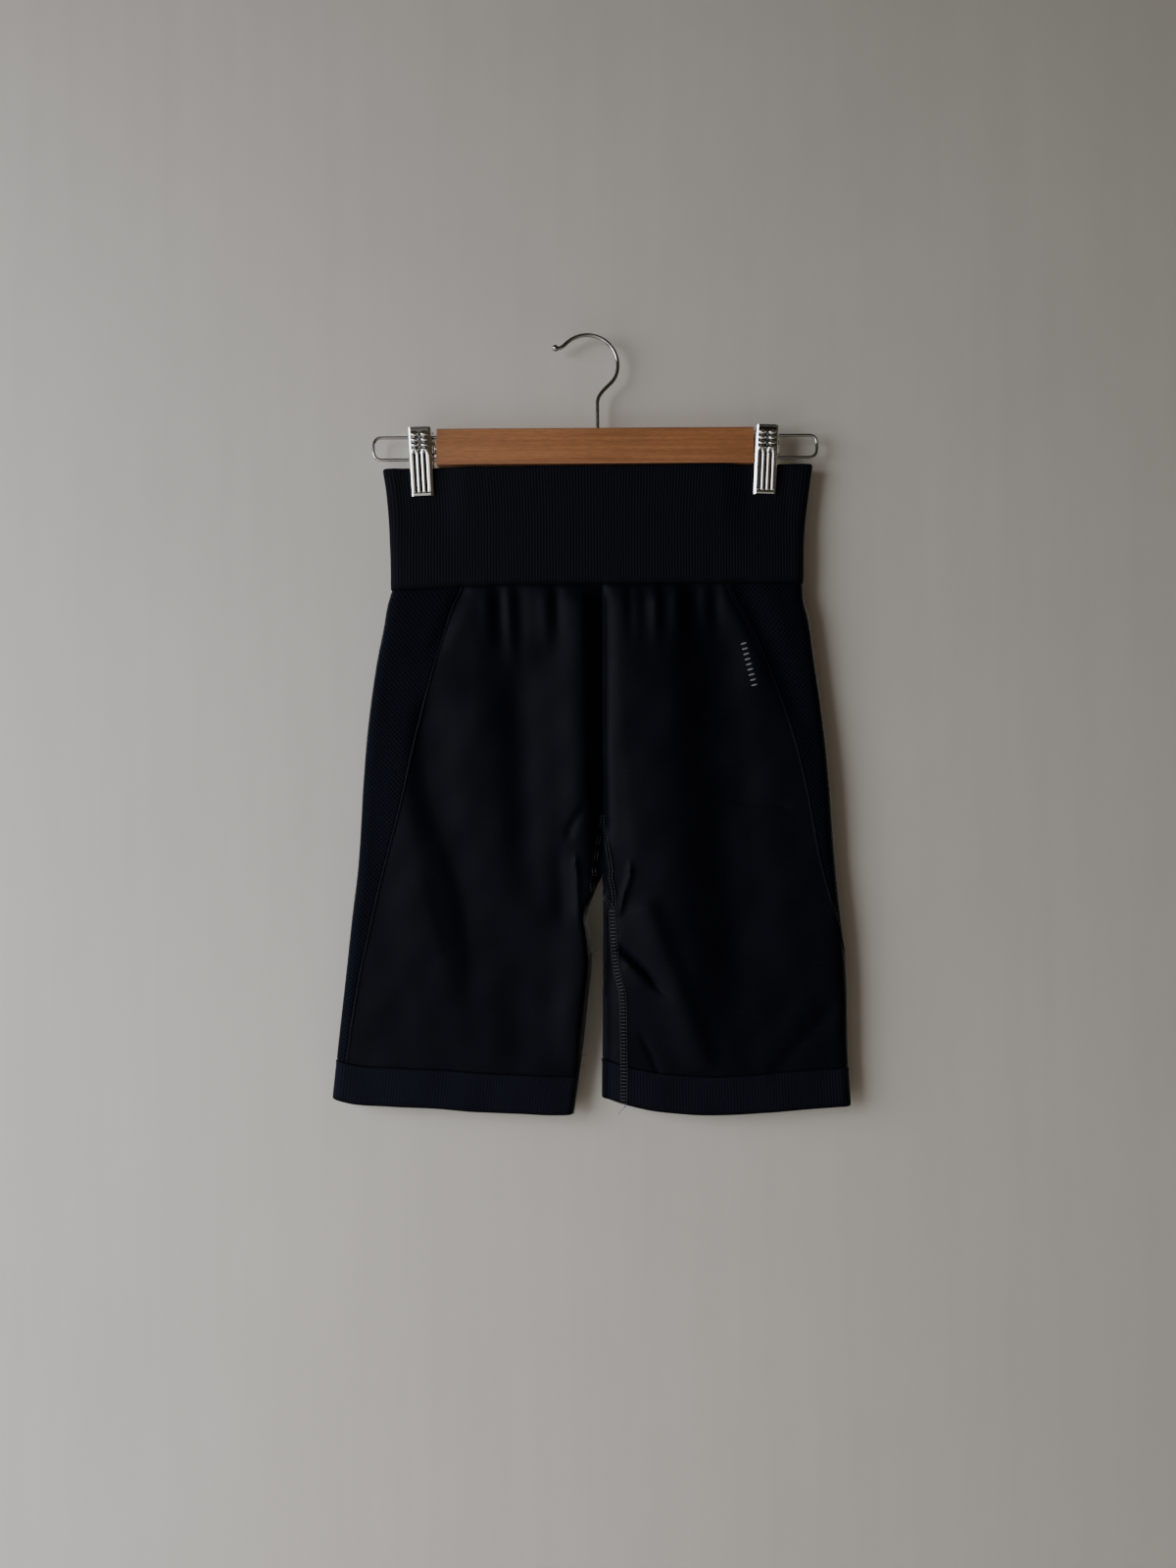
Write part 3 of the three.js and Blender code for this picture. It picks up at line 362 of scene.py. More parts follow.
def depth_at(x, z):
    """Half depth of the tube at a place, before its folds."""
    plain = smooth(OUTLINE, 3, z)
    near = bump(x - CENTRE_X, CROTCH_SPREAD)
    above, below = CROTCH_REACH
    keep = np.where(z > CROTCH, mix(CROTCH_DEPTH, 1, ease(z, CROTCH, CROTCH + above)),
                    mix(CROTCH_DEPTH, INNER_DEPTH, ease(-z, -CROTCH, -CROTCH + below)))
    inside = np.minimum(x - smooth(OUTLINE, 1, z), smooth(OUTLINE, 2, z) - x)
    taper = mix(1, mix(SIDE_DEPTH, 1, ease(inside, 0, SIDE_TAPER)), ease(-z, *TAPER_LEVELS))
    return mix(plain, BAND_WALL + PINCH.room, pinch(x, z)) * (1 - (1 - keep) * near) * taper


def fold_height(fold, x, z):
    """Height of one fold at a place."""
    line, left, right, height, rise, fade, *sharp = fold
    start = np.array(line[0], float)
    chord = np.array(line[-1], float) - start
    length = math.hypot(*chord)
    way = chord / length
    aside_way = np.array([-way[1], way[0]])
    steps = [(float((np.array(p) - start) @ way), float((np.array(p) - start) @ aside_way)) for p in line]
    along = (x - start[0]) * way[0] + (z - start[1]) * way[1]
    aside = (x - start[0]) * aside_way[0] + (z - start[1]) * aside_way[1] - smooth(steps, 1, along)
    width = np.where(aside < 0, left, right)
    if sharp:
        across = np.exp(-(np.sqrt(aside**2 + 0.5) - 0.7) / width)
    else:
        across = bump(aside, width)
    return height * across * ease(along, 0, rise) * (1 - ease(along, length - fade, length))


def folds_at(front, x, z):
    """Height of all the folds of the front or back at a place."""
    folds, gain = (FRONT_FOLDS, FRONT_GAIN) if front else (BACK_FOLDS, BACK_GAIN)
    height = gain * sum(fold_height(fold, x, z) for fold in folds)
    turn = 0 if front else BACK_TURN
    loose = ease(-z, *LOOSE_LEVELS)
    for along, down, phase, size in UNEVEN:
        height = height + size * loose * np.sin(2 * math.pi * (x / along + z / down) + phase + turn)
    return height


def section(side, z, leg):
    """Sizes of one half's section at each level."""
    outer = smooth(OUTLINE, COLUMN[side], z)
    if leg:
        start = mix(CENTRE_X, smooth(INNER, COLUMN[side], z), ease(CROTCH - z, 0, FOLD_REACH[0]))
        turn = FOLD_ROUND * ease(CROTCH - z, 0, FOLD_REACH[1])
        fold_arc = quarter(turn, depth_at(start + side * turn, z))
    else:
        start = np.full_like(z, CENTRE_X)
        turn = fold_arc = np.zeros_like(z)
    edge_arc = quarter(EDGE_ROUND, depth_at(outer - side * EDGE_ROUND, z))
    length = edge_arc + abs(outer - start) - EDGE_ROUND - turn + fold_arc
    return SimpleNamespace(side=side, outer=outer, inner=start, turn=turn, edge_arc=edge_arc,
                           fold_arc=fold_arc, length=length)


def lean_at(x, z):
    """The waistband's top edge leans a little, and the seam under it rises from its left end."""
    top = TOP_SLOPE * (x - CENTRE_X) * ease(z, TOP_BELOW, WAIST_TOP)
    seam = ease(z, SEAM_BELOW, WAIST_SEAM) * (1 - ease(z, WAIST_SEAM, WAIST_TOP))
    return top + mix(*SEAM_RISE, ease(x, *SEAM_SPAN)) * seam


def sway_at(s, x, z):
    """The hems sway up and down round each leg."""
    across = np.clip((x - s.inner) / (s.outer - s.inner), 0, 1)
    return smooth(HEM_SWAY, COLUMN[s.side], across) * ease(-z, SWAY_FROM, -HEM_TOP)


def cloth(side, place, z, leg, inset=0.0):
    """
    Points of the cloth's outer surface, or of its inner one at an inset. place is the distance from the side
    fold along the cloth, above 0 in front and below 0 behind, and goes on past a leg's inner fold.
    """
    place, z, inset = np.broadcast_arrays(np.asarray(place, float), np.asarray(z, float), inset)
    s = section(side, z, leg)
    at = place
    if leg:
        at = np.where(at > s.length, at - 2 * s.length, at)
        at = np.where(at < -s.length, at + 2 * s.length, at)
    front = at >= 0
    far = np.minimum(abs(at), s.length)
    rounds = np.clip(far / s.edge_arc, 0, 1) * (math.pi / 2)
    turns = np.clip((s.length - far) / np.maximum(s.fold_arc, 1e-6), 0, 1) * (math.pi / 2)
    at_edge = far < s.edge_arc
    at_fold = (far > s.length - s.fold_arc) & leg
    tuck = np.minimum(inset, s.turn)
    x = np.where(at_edge, s.outer - side * inset - side * (EDGE_ROUND - inset) * (1 - np.cos(rounds)),
                 s.outer - side * (EDGE_ROUND + far - s.edge_arc))
    x = np.where(at_fold, s.inner + side * tuck + side * (s.turn - tuck) * (1 - np.cos(turns)), x)
    loose = np.where(at_edge, np.sin(rounds), np.where(at_fold, np.sin(turns), 1))
    flat_x = np.where(at_edge, s.outer - side * EDGE_ROUND, np.where(at_fold, s.inner + side * s.turn, x))
    depth = (depth_at(flat_x, z) - inset) * loose
    folds = np.where(front, folds_at(True, x, z), folds_at(False, x, z)) * loose**2
    lift = inset * bump(x - CENTRE_X, 12) * bump(z - CROTCH, 20)
    y = (depth + folds) * np.where(front, -1, 1)
    return np.stack([x, y, z + lean_at(x, z) + sway_at(s, x, z) + lift], -1)


# ---------------------------------------------------------------- meshes

def grid_faces(rows, columns, first, turned, round_rows=False, round_columns=False):
    """Quads of a grid of points numbered row by row."""
    j = np.arange(rows if round_rows else rows - 1)[:, None]
    i = np.arange(columns if round_columns else columns - 1)[None, :]
    ring = [(first + ((j + dj) % rows) * columns + (i + di) % columns).ravel()
            for dj, di in ((0, 0), (0, 1), (1, 1), (1, 0))]
    return np.stack(ring if turned else ring[::-1], 1)


def walled(quads, total):
    """
    Faces of a closed wall: the given ones without the corners that merging made one, the same turned round on
    points numbered total higher, and a rim between the two.
    """
    faces = []
    for quad in quads.tolist():
        face = [v for k, v in enumerate(quad) if v != quad[k - 1]]
        if len(set(face)) > 2:
            faces.append(face)
    edges = dict.fromkeys((face[k - 1], v) for face in faces for k, v in enumerate(face))
    back = [[v + total for v in reversed(face)] for face in faces]
    rim = [[w, v, v + total, w + total] for v, w in edges if (w, v) not in edges]
    return faces + back + rim


def normals_of(points, quads):
    """A normal for each point, from the faces round it."""
    a, b, c, d = (points[quads[:, k]] for k in range(4))
    across = np.cross(c - a, d - b)
    total = np.zeros_like(points)
    for k in range(4):
        np.add.at(total, quads[:, k], across)
    return total / np.maximum(np.linalg.norm(total, axis=1, keepdims=True), 1e-12)


def add_object(name, data):
    """Puts a new object in the scene."""
    made = bpy.data.objects.new(name, data)
    bpy.context.scene.collection.objects.link(made)
    return made


def add_piece(name, points, faces, material=None, values=None, edges=()):
    """Makes a mesh piece from points in millimetres, with named values for its points."""
    mesh = bpy.data.meshes.new(name)
    mesh.from_pydata((np.asarray(points) * MM).tolist(), edges, faces)
    for key, value in (values or {}).items():
        value = np.asarray(value, float)
        kind, field = ("FLOAT", "value") if value.ndim == 1 else ("FLOAT_VECTOR", "vector")
        mesh.attributes.new(key, kind, "POINT").data.foreach_set(field, value.ravel())
    if material:
        mesh.materials.append(material)
    mesh.validate()
    mesh.polygons.foreach_set("use_smooth", [True] * len(mesh.polygons))
    mesh.set_sharp_from_angle(angle=math.radians(SHARP_ANGLE))
    return add_object(name, mesh)


def hand_over(piece, slot, *nodes):
    """Lets a finished piece ride on the body in the place of its frame nodes, which it hides. slot is not used.
    """
    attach(piece, "root")
    if nodes:
        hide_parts(*nodes)


def shell(name, grids, material):
    """A closed wall of cloth, from grids that share their borders."""
    grids = list(grids)
    quads, count = [], 0
    for grid in grids:
        quads.append(grid_faces(*grid.lift.shape, count, grid.turned))
        count += grid.lift.size
    outer, inner, places, lift = (
        np.concatenate([getattr(grid, key).reshape(-1, width) for grid in grids])
        for key, width in (("outer", 3), ("inner", 3), ("places", 3), ("lift", 1)))
    _, found, number = np.unique(np.round(outer * MERGED_PER_MM).astype(int), axis=0, return_index=True,
                                 return_inverse=True)
    number = number.ravel()
    times = np.bincount(number)[:, None]
    outer, inner, lift = (np.stack([np.bincount(number, column) for column in part.T], 1) / times
                          for part in (outer, inner, lift))
    quads = number[np.concatenate(quads)]
    raised = outer + normals_of(outer, quads) * lift
    return add_piece(name, np.concatenate([raised, inner]), walled(quads, len(outer)), material,
                     {"cloth": np.concatenate([places[found], places[found]])})


def tube(points, radii, sides):
    """Points and faces of a round tube along a line, with closed ends."""
    points = np.asarray(points, float)
    radii = np.broadcast_to(radii, len(points))
    ways = np.gradient(points, axis=0)
    ways /= np.linalg.norm(ways, axis=1, keepdims=True)
    up = np.array([0.0, 1.0, 0.0])
    if abs(ways @ up).max() > 0.9:
        up = np.array([1.0, 0.0, 0.0])
    first = np.cross(ways, up)
    first /= np.linalg.norm(first, axis=1, keepdims=True)
    second = np.cross(ways, first)
    angles = np.linspace(0, 2 * math.pi, sides, endpoint=False)[None, :, None]
    ring = np.cos(angles) * first[:, None] + np.sin(angles) * second[:, None]
    grid = points[:, None] + ring * radii[:, None, None]
    faces = grid_faces(len(points), sides, 0, False, round_columns=True).tolist()
    last = len(points) * sides
    for k in range(sides):
        after = (k + 1) % sides
        faces += [[last, after, k], [last + 1, last - sides + k, last - sides + after]]
    return np.concatenate([grid.reshape(-1, 3), points[:1], points[-1:]]), faces


def joined(parts):
    """Several sets of points and faces as one."""
    points, faces, count = [], [], 0
    for part_points, part_faces in parts:
        points.append(part_points)
        faces += [[v + count for v in face] for face in part_faces]
        count += len(part_points)
    return np.concatenate(points), faces


# ---------------------------------------------------------------- node trees

def add_node(tree, kind, inputs=None, **settings):
    """
    Adds a node with its settings, and fills its inputs with values, with links, or with links to the first
    outputs of other nodes.
    """
    made = tree.nodes.new(kind)
    for key, value in settings.items():
        setattr(made, key, value)
    for key, value in (inputs or {}).items():
        if isinstance(value, bpy.types.Node):
            value = value.outputs[0]
        if isinstance(value, bpy.types.NodeSocket):
            tree.links.new(value, made.inputs[key])
        else:
            made.inputs[key].default_value = value
    return made


def new_tree(name, kinds):
    """A geometry node tree with a geometry socket each way, the named inputs and one for the material."""
    tree = bpy.data.node_groups.new(name, "GeometryNodeTree")
    tree.interface.new_socket("Geometry", in_out="OUTPUT", socket_type="NodeSocketGeometry")
    for label, kind in {"Geometry": "Geometry", **kinds, "Material": "Material"}.items():
        tree.interface.new_socket(label, in_out="INPUT", socket_type="NodeSocket" + kind)
    return tree, add_node(tree, "NodeGroupInput").outputs


def finish_tree(tree, geometry, given):
    """Ends a tree in plain geometry with its material."""
    real = add_node(tree, "GeometryNodeRealizeInstances", {"Geometry": geometry})
    coated = add_node(tree, "GeometryNodeSetMaterial", {"Geometry": real, "Material": given["Material"]})
    add_node(tree, "NodeGroupOutput", {0: coated})
    return tree


def use_tree(piece, tree, values):
    """Runs a tree on a piece, with inputs set by their identifiers, and keeps the result as a plain mesh."""
    modifier = piece.modifiers.new(tree.name, "NODES")
    modifier.node_group = tree
    for item in tree.interface.items_tree:
        if item.in_out == "INPUT" and item.name in values:
            modifier[item.identifier] = values[item.name]
    made = bpy.data.meshes.new_from_object(piece.evaluated_get(bpy.context.evaluated_depsgraph_get()))
    made.name = piece.name
    piece.modifiers.clear()
    piece.data = made
    return piece


def shared(kept, name, maker, *values):
    """A material or tree that several pieces share, made the first time it is asked for."""
    return kept.get(name) or maker(name, *values)


def rib_tree(name):
    """Raises ribs along a cloth whose points know how far round it they lie and how ribbed they are."""
    tree, given = new_tree(name, {"Rib Count": "Float", "Rib Height": "Float"})
    shown, ribbed = (add_node(tree, "GeometryNodeInputNamedAttribute", {"Name": key}, data_type="FLOAT")
                     for key in ("around", "ribbed"))
    # The size of the sine of pi for each rib, times how ribbed the cloth is.
    for operation, value in (("MULTIPLY", given["Rib Count"]), ("MULTIPLY", math.pi), ("SINE", 0),
                             ("ABSOLUTE", 0), ("MULTIPLY", ribbed)):
        shown = add_node(tree, "ShaderNodeMath", {0: shown, 1: value}, operation=operation)
    high = add_node(tree, "ShaderNodeMath", {0: shown, 1: given["Rib Height"]}, operation="MULTIPLY")
    normal = add_node(tree, "GeometryNodeInputNormal")
    push = add_node(tree, "ShaderNodeVectorMath", {0: normal, "Scale": high}, operation="SCALE")
    # The share is kept as crest, from which the rib knit paints shade in the grooves and light on the crests.
    kept = add_node(tree, "GeometryNodeStoreNamedAttribute", {
        "Geometry": given[0], "Name": "crest", "Value": shown}, data_type="FLOAT", domain="POINT")
    moved = add_node(tree, "GeometryNodeSetPosition", {"Geometry": kept, "Offset": push})
    return finish_tree(tree, moved, given)


def stitch_tree(name):
    """Lays stitches end to end or side by side along a line that knows its way out of the cloth."""
    tree, given = new_tree(name, {"Stitch Spacing": "Float", "Stitch Size": "Vector"})
    line = add_node(tree, "GeometryNodeMeshToCurve", {"Mesh": given[0]})
    evened = add_node(tree, "GeometryNodeResampleCurve", {
        "Curve": line, "Length": given["Stitch Spacing"]}, mode="LENGTH")
    out = add_node(tree, "GeometryNodeInputNamedAttribute", {"Name": "out"}, data_type="FLOAT_VECTOR")
    tangent = add_node(tree, "GeometryNodeInputTangent")
    turned = add_node(tree, "FunctionNodeAxesToRotation", {
        "Primary Axis": out, "Secondary Axis": tangent}, primary_axis="Z", secondary_axis="X")
    stitch = add_node(tree, "GeometryNodeMeshUVSphere", {"Segments": 8, "Rings": 5, "Radius": 0.5})
    soft = add_node(tree, "GeometryNodeSetShadeSmooth", {"Geometry": stitch})
    laid = add_node(tree, "GeometryNodeInstanceOnPoints", {
        "Points": evened, "Instance": soft, "Rotation": turned, "Scale": given["Stitch Size"]})
    return finish_tree(tree, laid, given)


def coil_tree(name):
    """Winds a spring of round wire along Z."""
    tree, given = new_tree(name, {
        "Turns": "Float", "Coil Radius": "Float", "Wire Radius": "Float", "Coil Length": "Float"})
    spiral = add_node(tree, "GeometryNodeCurveSpiral", {
        "Resolution": 28, "Rotations": given["Turns"], "Start Radius": given["Coil Radius"],
        "End Radius": given["Coil Radius"], "Height": given["Coil Length"]})
    circle = add_node(tree, "GeometryNodeCurvePrimitiveCircle", {
        "Resolution": 10, "Radius": given["Wire Radius"]})
    wire = add_node(tree, "GeometryNodeCurveToMesh", {
        "Curve": spiral, "Profile Curve": circle, "Fill Caps": True})
    soft = add_node(tree, "GeometryNodeSetShadeSmooth", {"Geometry": wire})
    return finish_tree(tree, soft, given)


# ---------------------------------------------------------------- materials

def new_material(name, colour, on_cloth=False, **values):
    """A material with one Principled shader and its sockets' values, and the vector its patterns follow."""
    material = bpy.data.materials.new(name)
    material.use_nodes = True
    tree = material.node_tree
    shader = tree.nodes["Principled BSDF"]
    shader.inputs["Base Color"].default_value = (*colour, 1)
    for key, value in values.items():
        shader.inputs[key.replace("_", " ").title().replace("Ior", "IOR")].default_value = value
    if on_cloth:
        where = add_node(tree, "ShaderNodeAttribute", attribute_name="cloth").outputs["Vector"]
    else:
        where = add_node(tree, "ShaderNodeTexCoord").outputs["Object"]
    return material, tree, where


def uneven(tree, where, scale, detail, limits, tones, **values):
    """
    A noise, with one scale or one for each axis, and a tone that goes from one value to another as the noise
    goes from one limit to the other.
    """
    if isinstance(scale, tuple):
        where = add_node(tree, "ShaderNodeMapping", {"Vector": where, "Scale": scale})
        scale = 1.0
    noise = add_node(tree, "ShaderNodeTexNoise", {
        "Vector": where, "Scale": scale, "Detail": detail, **values})
    tone = add_node(tree, "ShaderNodeMapRange", {
        "Value": noise, "From Min": limits[0], "From Max": limits[1], "To Min": tones[0], "To Max": tones[1]})
    return noise, tone


def tint_and_emboss(tree, colour, tone, relief=None):
    """Gives the shader a colour times a tone, and relief from a height, its strength and its distance."""
    shader = tree.nodes["Principled BSDF"]
    toned = add_node(tree, "ShaderNodeVectorMath", {0: colour, "Scale": tone}, operation="SCALE")
    tree.links.new(toned.outputs[0], shader.inputs["Base Color"])
    if relief:
        raised = add_node(tree, "ShaderNodeBump", dict(zip(("Height", "Strength", "Distance"), relief)))
        tree.links.new(raised.outputs[0], shader.inputs["Normal"])


def shade(colour, factor):
    """A colour made darker or lighter."""
    return tuple(min(c * factor, 1) for c in colour) + (1,)


def rib_knit(name, colour):
    """Polyamide and elastane rib knit: matt, with a faint fuzz, painted shade in the grooves between the ribs
    and painted light on their crests.
    """
    material, tree, where = new_material(name, colour, roughness=0.85, sheen_weight=0.004,
                                         specular_ior_level=0.06)
    crest = add_node(tree, "ShaderNodeAttribute", attribute_name="crest")
    # Painted shade and light: the grooves are darkened to a quarter of the colour and the crests made a third
    # lighter.
    ribs = add_node(tree, "ShaderNodeMix", {
        0: crest.outputs["Fac"], 6: shade(colour, 0.25), 7: shade(colour, 1.32)}, data_type="RGBA")
    # Yarns of about 0.4 mm, drawn at 1.2 mm so that they show.
    fuzz, worn = uneven(tree, where, 820.0, 3.0, (0.3, 0.7), (0.78, 1.22), Roughness=0.6)
    tint_and_emboss(tree, ribs.outputs[2], worn, (fuzz, 0.5, 0.0003))
    return material


def plain_knit(name, colour):
    """Plain jersey of polyamide and elastane: matt, with fine wales and a faint streak along the courses."""
    material, tree, where = new_material(name, colour, on_cloth=True, roughness=0.55,
                                         specular_ior_level=0.055)
    # Courses of 0.6 mm, drawn as streaks of 1.1 mm by 17 mm, as yarn of uneven shade gives them.
    streaks, streak_tone = uneven(tree, where, (60, 900, 1), 3.0, (0.32, 0.68), (0.8, 1.2), Roughness=0.55)
    # Wales of 0.8 mm, drawn at 2.2 mm.
    wales = add_node(tree, "ShaderNodeTexWave", {
        "Vector": where, "Scale": 143.0, "Distortion": 1.4, "Detail": 2.0, "Detail Scale": 6.0},
        wave_type="BANDS", bands_direction="X")
    _, patch_tone = uneven(tree, where, 26.0, 2.0, (0.3, 0.7), (0.9, 1.1))
    tone = add_node(tree, "ShaderNodeMath", {0: streak_tone, 1: patch_tone}, operation="MULTIPLY")
    height = add_node(tree, "ShaderNodeMath", {
        0: wales.outputs["Fac"], 1: 0.3, 2: streaks}, operation="MULTIPLY_ADD")
    tint_and_emboss(tree, colour, tone, (height, 0.35, 0.0003))
    return material


def mesh_knit(name, colour):
    """Bird's-eye knit: small eyelets in staggered rows, with painted shade in the eyelets and painted light on
    the cloth round them.
    """
    material, tree, where = new_material(name, colour, on_cloth=True, roughness=0.7, specular_ior_level=0.035)
    # Eyelets 1.3 mm apart, drawn 2.5 mm apart so that they show: the waves are 3.6 mm long each way.
    steps = add_node(tree, "ShaderNodeVectorMath", {0: where, "Scale": 2 * math.pi / 0.0036},
                     operation="SCALE")
    split = add_node(tree, "ShaderNodeSeparateXYZ", {0: steps})
    across, down = (add_node(tree, "ShaderNodeMath", {0: split.outputs[k]}, operation="SINE") for k in (0, 1))
    weave = add_node(tree, "ShaderNodeMath", {0: across, 1: down}, operation="MULTIPLY")
    holes = add_node(tree, "ShaderNodeMapRange", {
        "Value": weave, "From Min": -0.2, "From Max": 0.75, "To Min": 1.0, "To Max": 0.0},
        interpolation_type="SMOOTHSTEP")
    # Painted shade and light: the eyelets are darkened to under a third of the colour and the cloth round them
    # made a third lighter.
    painted_eyelet_shade = add_node(tree, "ShaderNodeMix", {
        0: holes, 6: shade(colour, 0.3), 7: shade(colour, 1.35)}, data_type="RGBA")
    _, tone = uneven(tree, where, 260.0, 3.0, (0.3, 0.7), (0.85, 1.15))
    tint_and_emboss(tree, painted_eyelet_shade.outputs[2], tone, (holes, 0.6, 0.0006))
    return material


def seam_thread(name, colour):
    """Spun polyester thread: a little lighter than the cloth, with a soft sheen."""
    material, tree, where = new_material(name, colour, roughness=0.6, sheen_weight=0.2)
    # Ply twist of 0.5 mm, drawn as it is, on the few places where it is seen close.
    _, tone = uneven(tree, where, 2000.0, 1.0, (0, 1), (0.7, 1.3))
    tint_and_emboss(tree, colour, tone)
    return material


def reflective_print(name, colour):
    """Heat-pressed film with glass beads: pale grey, half matt, with a fine grit."""
    material, tree, where = new_material(name, colour, roughness=0.45)
    # Beads of 0.06 mm, drawn as grit of 0.5 mm.
    _, tone = uneven(tree, where, 2000.0, 1.0, (0, 1), (0.75, 1.1))
    tint_and_emboss(tree, colour, tone)
    return material


def lacquered_beech(name, colour, grain_colour):
    """Straight-grained beech, stained warm and lacquered: long fine streaks under a clear satin coat."""
    material, tree, where = new_material(name, colour, roughness=0.42, coat_weight=0.35, coat_roughness=0.22)
    # Growth rings show as streaks about 3 mm high and 150 mm long.
    _, rings = uneven(tree, where, (7, 330, 330), 5.0, (0.36, 0.62), (0.0, 0.85), Roughness=0.6,
                      Distortion=0.35)
    # Pores and rays of 0.3 mm by 4 mm, drawn 0.9 mm high.
    pores, pore_tone = uneven(tree, where, (150, 1100, 1100), 3.0, (0.35, 0.6), (0.84, 1.05))
    _, broad_tone = uneven(tree, where, 11.0, 1.0, (0.3, 0.7), (0.93, 1.07))
    grain = add_node(tree, "ShaderNodeMix", {
        0: rings, 6: (*colour, 1), 7: (*grain_colour, 1)}, data_type="RGBA")
    tone = add_node(tree, "ShaderNodeMath", {0: pore_tone, 1: broad_tone}, operation="MULTIPLY")
    tint_and_emboss(tree, grain.outputs[2], tone, (pores, 0.12, 0.0002))
    return material


def plated_steel(name, colour, roughness, wear):
    """
    Nickel or chrome plate on steel: a mirror, dulled in soft patches by handling, with painted shade that
    darkens its grooves.
    """
    material, tree, where = new_material(name, colour, metallic=1.0, roughness=roughness)
    # Painted shade: the clips' points carry how much the plating is darkened, in the grooves, between the
    # scales and on the inner side.
    tarnish = add_node(tree, "ShaderNodeAttribute", attribute_name="tarnish")
    tone = add_node(tree, "ShaderNodeMix", {
        0: tarnish.outputs["Fac"], 6: (*colour, 1), 7: shade(colour, 0.06)}, data_type="RGBA")
    # Handling marks of 2 to 5 mm.
    _, dulled = uneven(tree, where, 300.0, 4.0, (0.35, 0.7), (roughness, roughness + wear), Roughness=0.6)
    shader = tree.nodes["Principled BSDF"]
    tree.links.new(tone.outputs[2], shader.inputs["Base Color"])
    tree.links.new(dulled.outputs[0], shader.inputs["Roughness"])
    return material


def painted_wall(name, colour):
    """Matt emulsion on plaster, seen from its front only, that fades out far to the sides."""
    material, tree, where = new_material(name, colour, roughness=0.9, specular_ior_level=0.15)
    # Roller marks: broad patches of 120 mm and faint upright streaks.
    patches = add_node(tree, "ShaderNodeTexNoise", {"Vector": where, "Scale": 6.0, "Detail": 4.0})
    upright = add_node(tree, "ShaderNodeMapping", {"Vector": where, "Scale": (60, 60, 4)})
    streaks = add_node(tree, "ShaderNodeTexNoise", {"Vector": upright, "Scale": 1.0, "Detail": 4.0})
    both = add_node(tree, "ShaderNodeMath", {0: patches, 1: streaks}, operation="ADD")
    tone = add_node(tree, "ShaderNodeMapRange", {
        "Value": both, "From Min": 0.7, "From Max": 1.3, "To Min": 0.97, "To Max": 1.03})
    tint_and_emboss(tree, colour, tone, (streaks, 0.1, 0.001))
    face = add_node(tree, "ShaderNodeNewGeometry")
    split = add_node(tree, "ShaderNodeSeparateXYZ", {0: where})
    aside = add_node(tree, "ShaderNodeMath", {0: split}, operation="ABSOLUTE")
    far = add_node(tree, "ShaderNodeMapRange", {"Value": aside, "From Min": 1.3, "From Max": 1.9})
    unseen = add_node(tree, "ShaderNodeMath", {0: face.outputs["Backfacing"], 1: far}, operation="MAXIMUM")
    clear = add_node(tree, "ShaderNodeBsdfTransparent")
    one_sided = add_node(tree, "ShaderNodeMixShader", {0: unseen, 1: tree.nodes["Principled BSDF"], 2: clear})
    tree.links.new(one_sided.outputs[0], tree.nodes["Material Output"].inputs["Surface"])
    return material


# ---------------------------------------------------------------- cloth pieces

# Where the cloth's columns lie near a line that is knitted in, from the line inwards.
CLOSE = np.array([0, 0.35, 0.75, 1.15, 1.55, 2.0, 2.6, 3.4, 4.4, 5.6])


def levels_down(high, low, step):
    """Levels from high to low about a step apart, both included."""
    return np.linspace(high, low, max(2, round((high - low) / step) + 1))


EDGE_STEPS = np.array([0, 0.4, 0.9, 1.6, 2.6])
BODY_TOP = WAIST_SEAM - 0.2
BODY_FOOT = HEM_TOP + 0.2
ABOVE = np.concatenate([
    BODY_TOP - EDGE_STEPS, levels_down(BODY_TOP - 4, GUSSET_TOP, 2.1),
    levels_down(GUSSET_TOP, CROTCH, 2)[1:]])
BELOW = np.concatenate([
    levels_down(CROTCH, GUSSET_FOOT, 1.9), levels_down(GUSSET_FOOT, BODY_FOOT + 4, 2.1)[1:],
    BODY_FOOT + EDGE_STEPS[::-1]])


def side_line(side, face, z):
    """Where a mesh panel's line lies, as a place on the cloth."""
    column = side + 2 + (face < 0)
    return face * smooth(SIDE_LINES, column, np.maximum(z, HEM_TOP))


def gusset_at(side, z):
    """Under the crotch: where the gusset's middle lies before the inner fold, and half its width."""
    foot = ease(CROTCH - z, 0, CROTCH - GUSSET_FOOT)
    seam = smooth(INSEAMS, COLUMN[side], np.full_like(z, GUSSET_FOOT))
    full = GUSSET_HALF + section(side, np.full_like(z, CROTCH), True).fold_arc
    return seam * foot, full * (1 - (CROTCH - z) / (CROTCH - GUSSET_FOOT))


def inner_border(side, face, z, leg):
    """The inner border of the front (face 1) or back (face -1), as a place on the cloth."""
    length = section(side, z, leg).length
    if not leg:
        width = GUSSET_HALF * np.clip((GUSSET_TOP - z) / (GUSSET_TOP - CROTCH), 0, 1)
        return face * (length - width - np.where(width > 0, SEAM_GAP, 0))
    middle, half = gusset_at(side, z)
    beside = z > GUSSET_FOOT + 1e-6
    middle = np.where(beside, middle, smooth(INSEAMS, COLUMN[side], z))
    return face * (length - face * middle - np.where(beside, half, 0) - SEAM_GAP)


def side_bead(distance, z, second):
    """The knitted-in line along a mesh panel: a groove and a small ridge, doubled at the top on one side."""
    high = bpy.context.scene.shorts_cloth.bead_height / MM
    fade = 1 - 0.35 * ease(-z, 430, 560)
    lift = high * (bump(distance - 1.15, 0.75) - 0.6 * bump(distance, 0.45)) * fade
    doubled = second * (1 - ease(-z, 215, 262))
    return lift + doubled * (0.5 * high * bump(distance - 3.4, 0.9) - high * bump(distance - 5.0, 0.8))


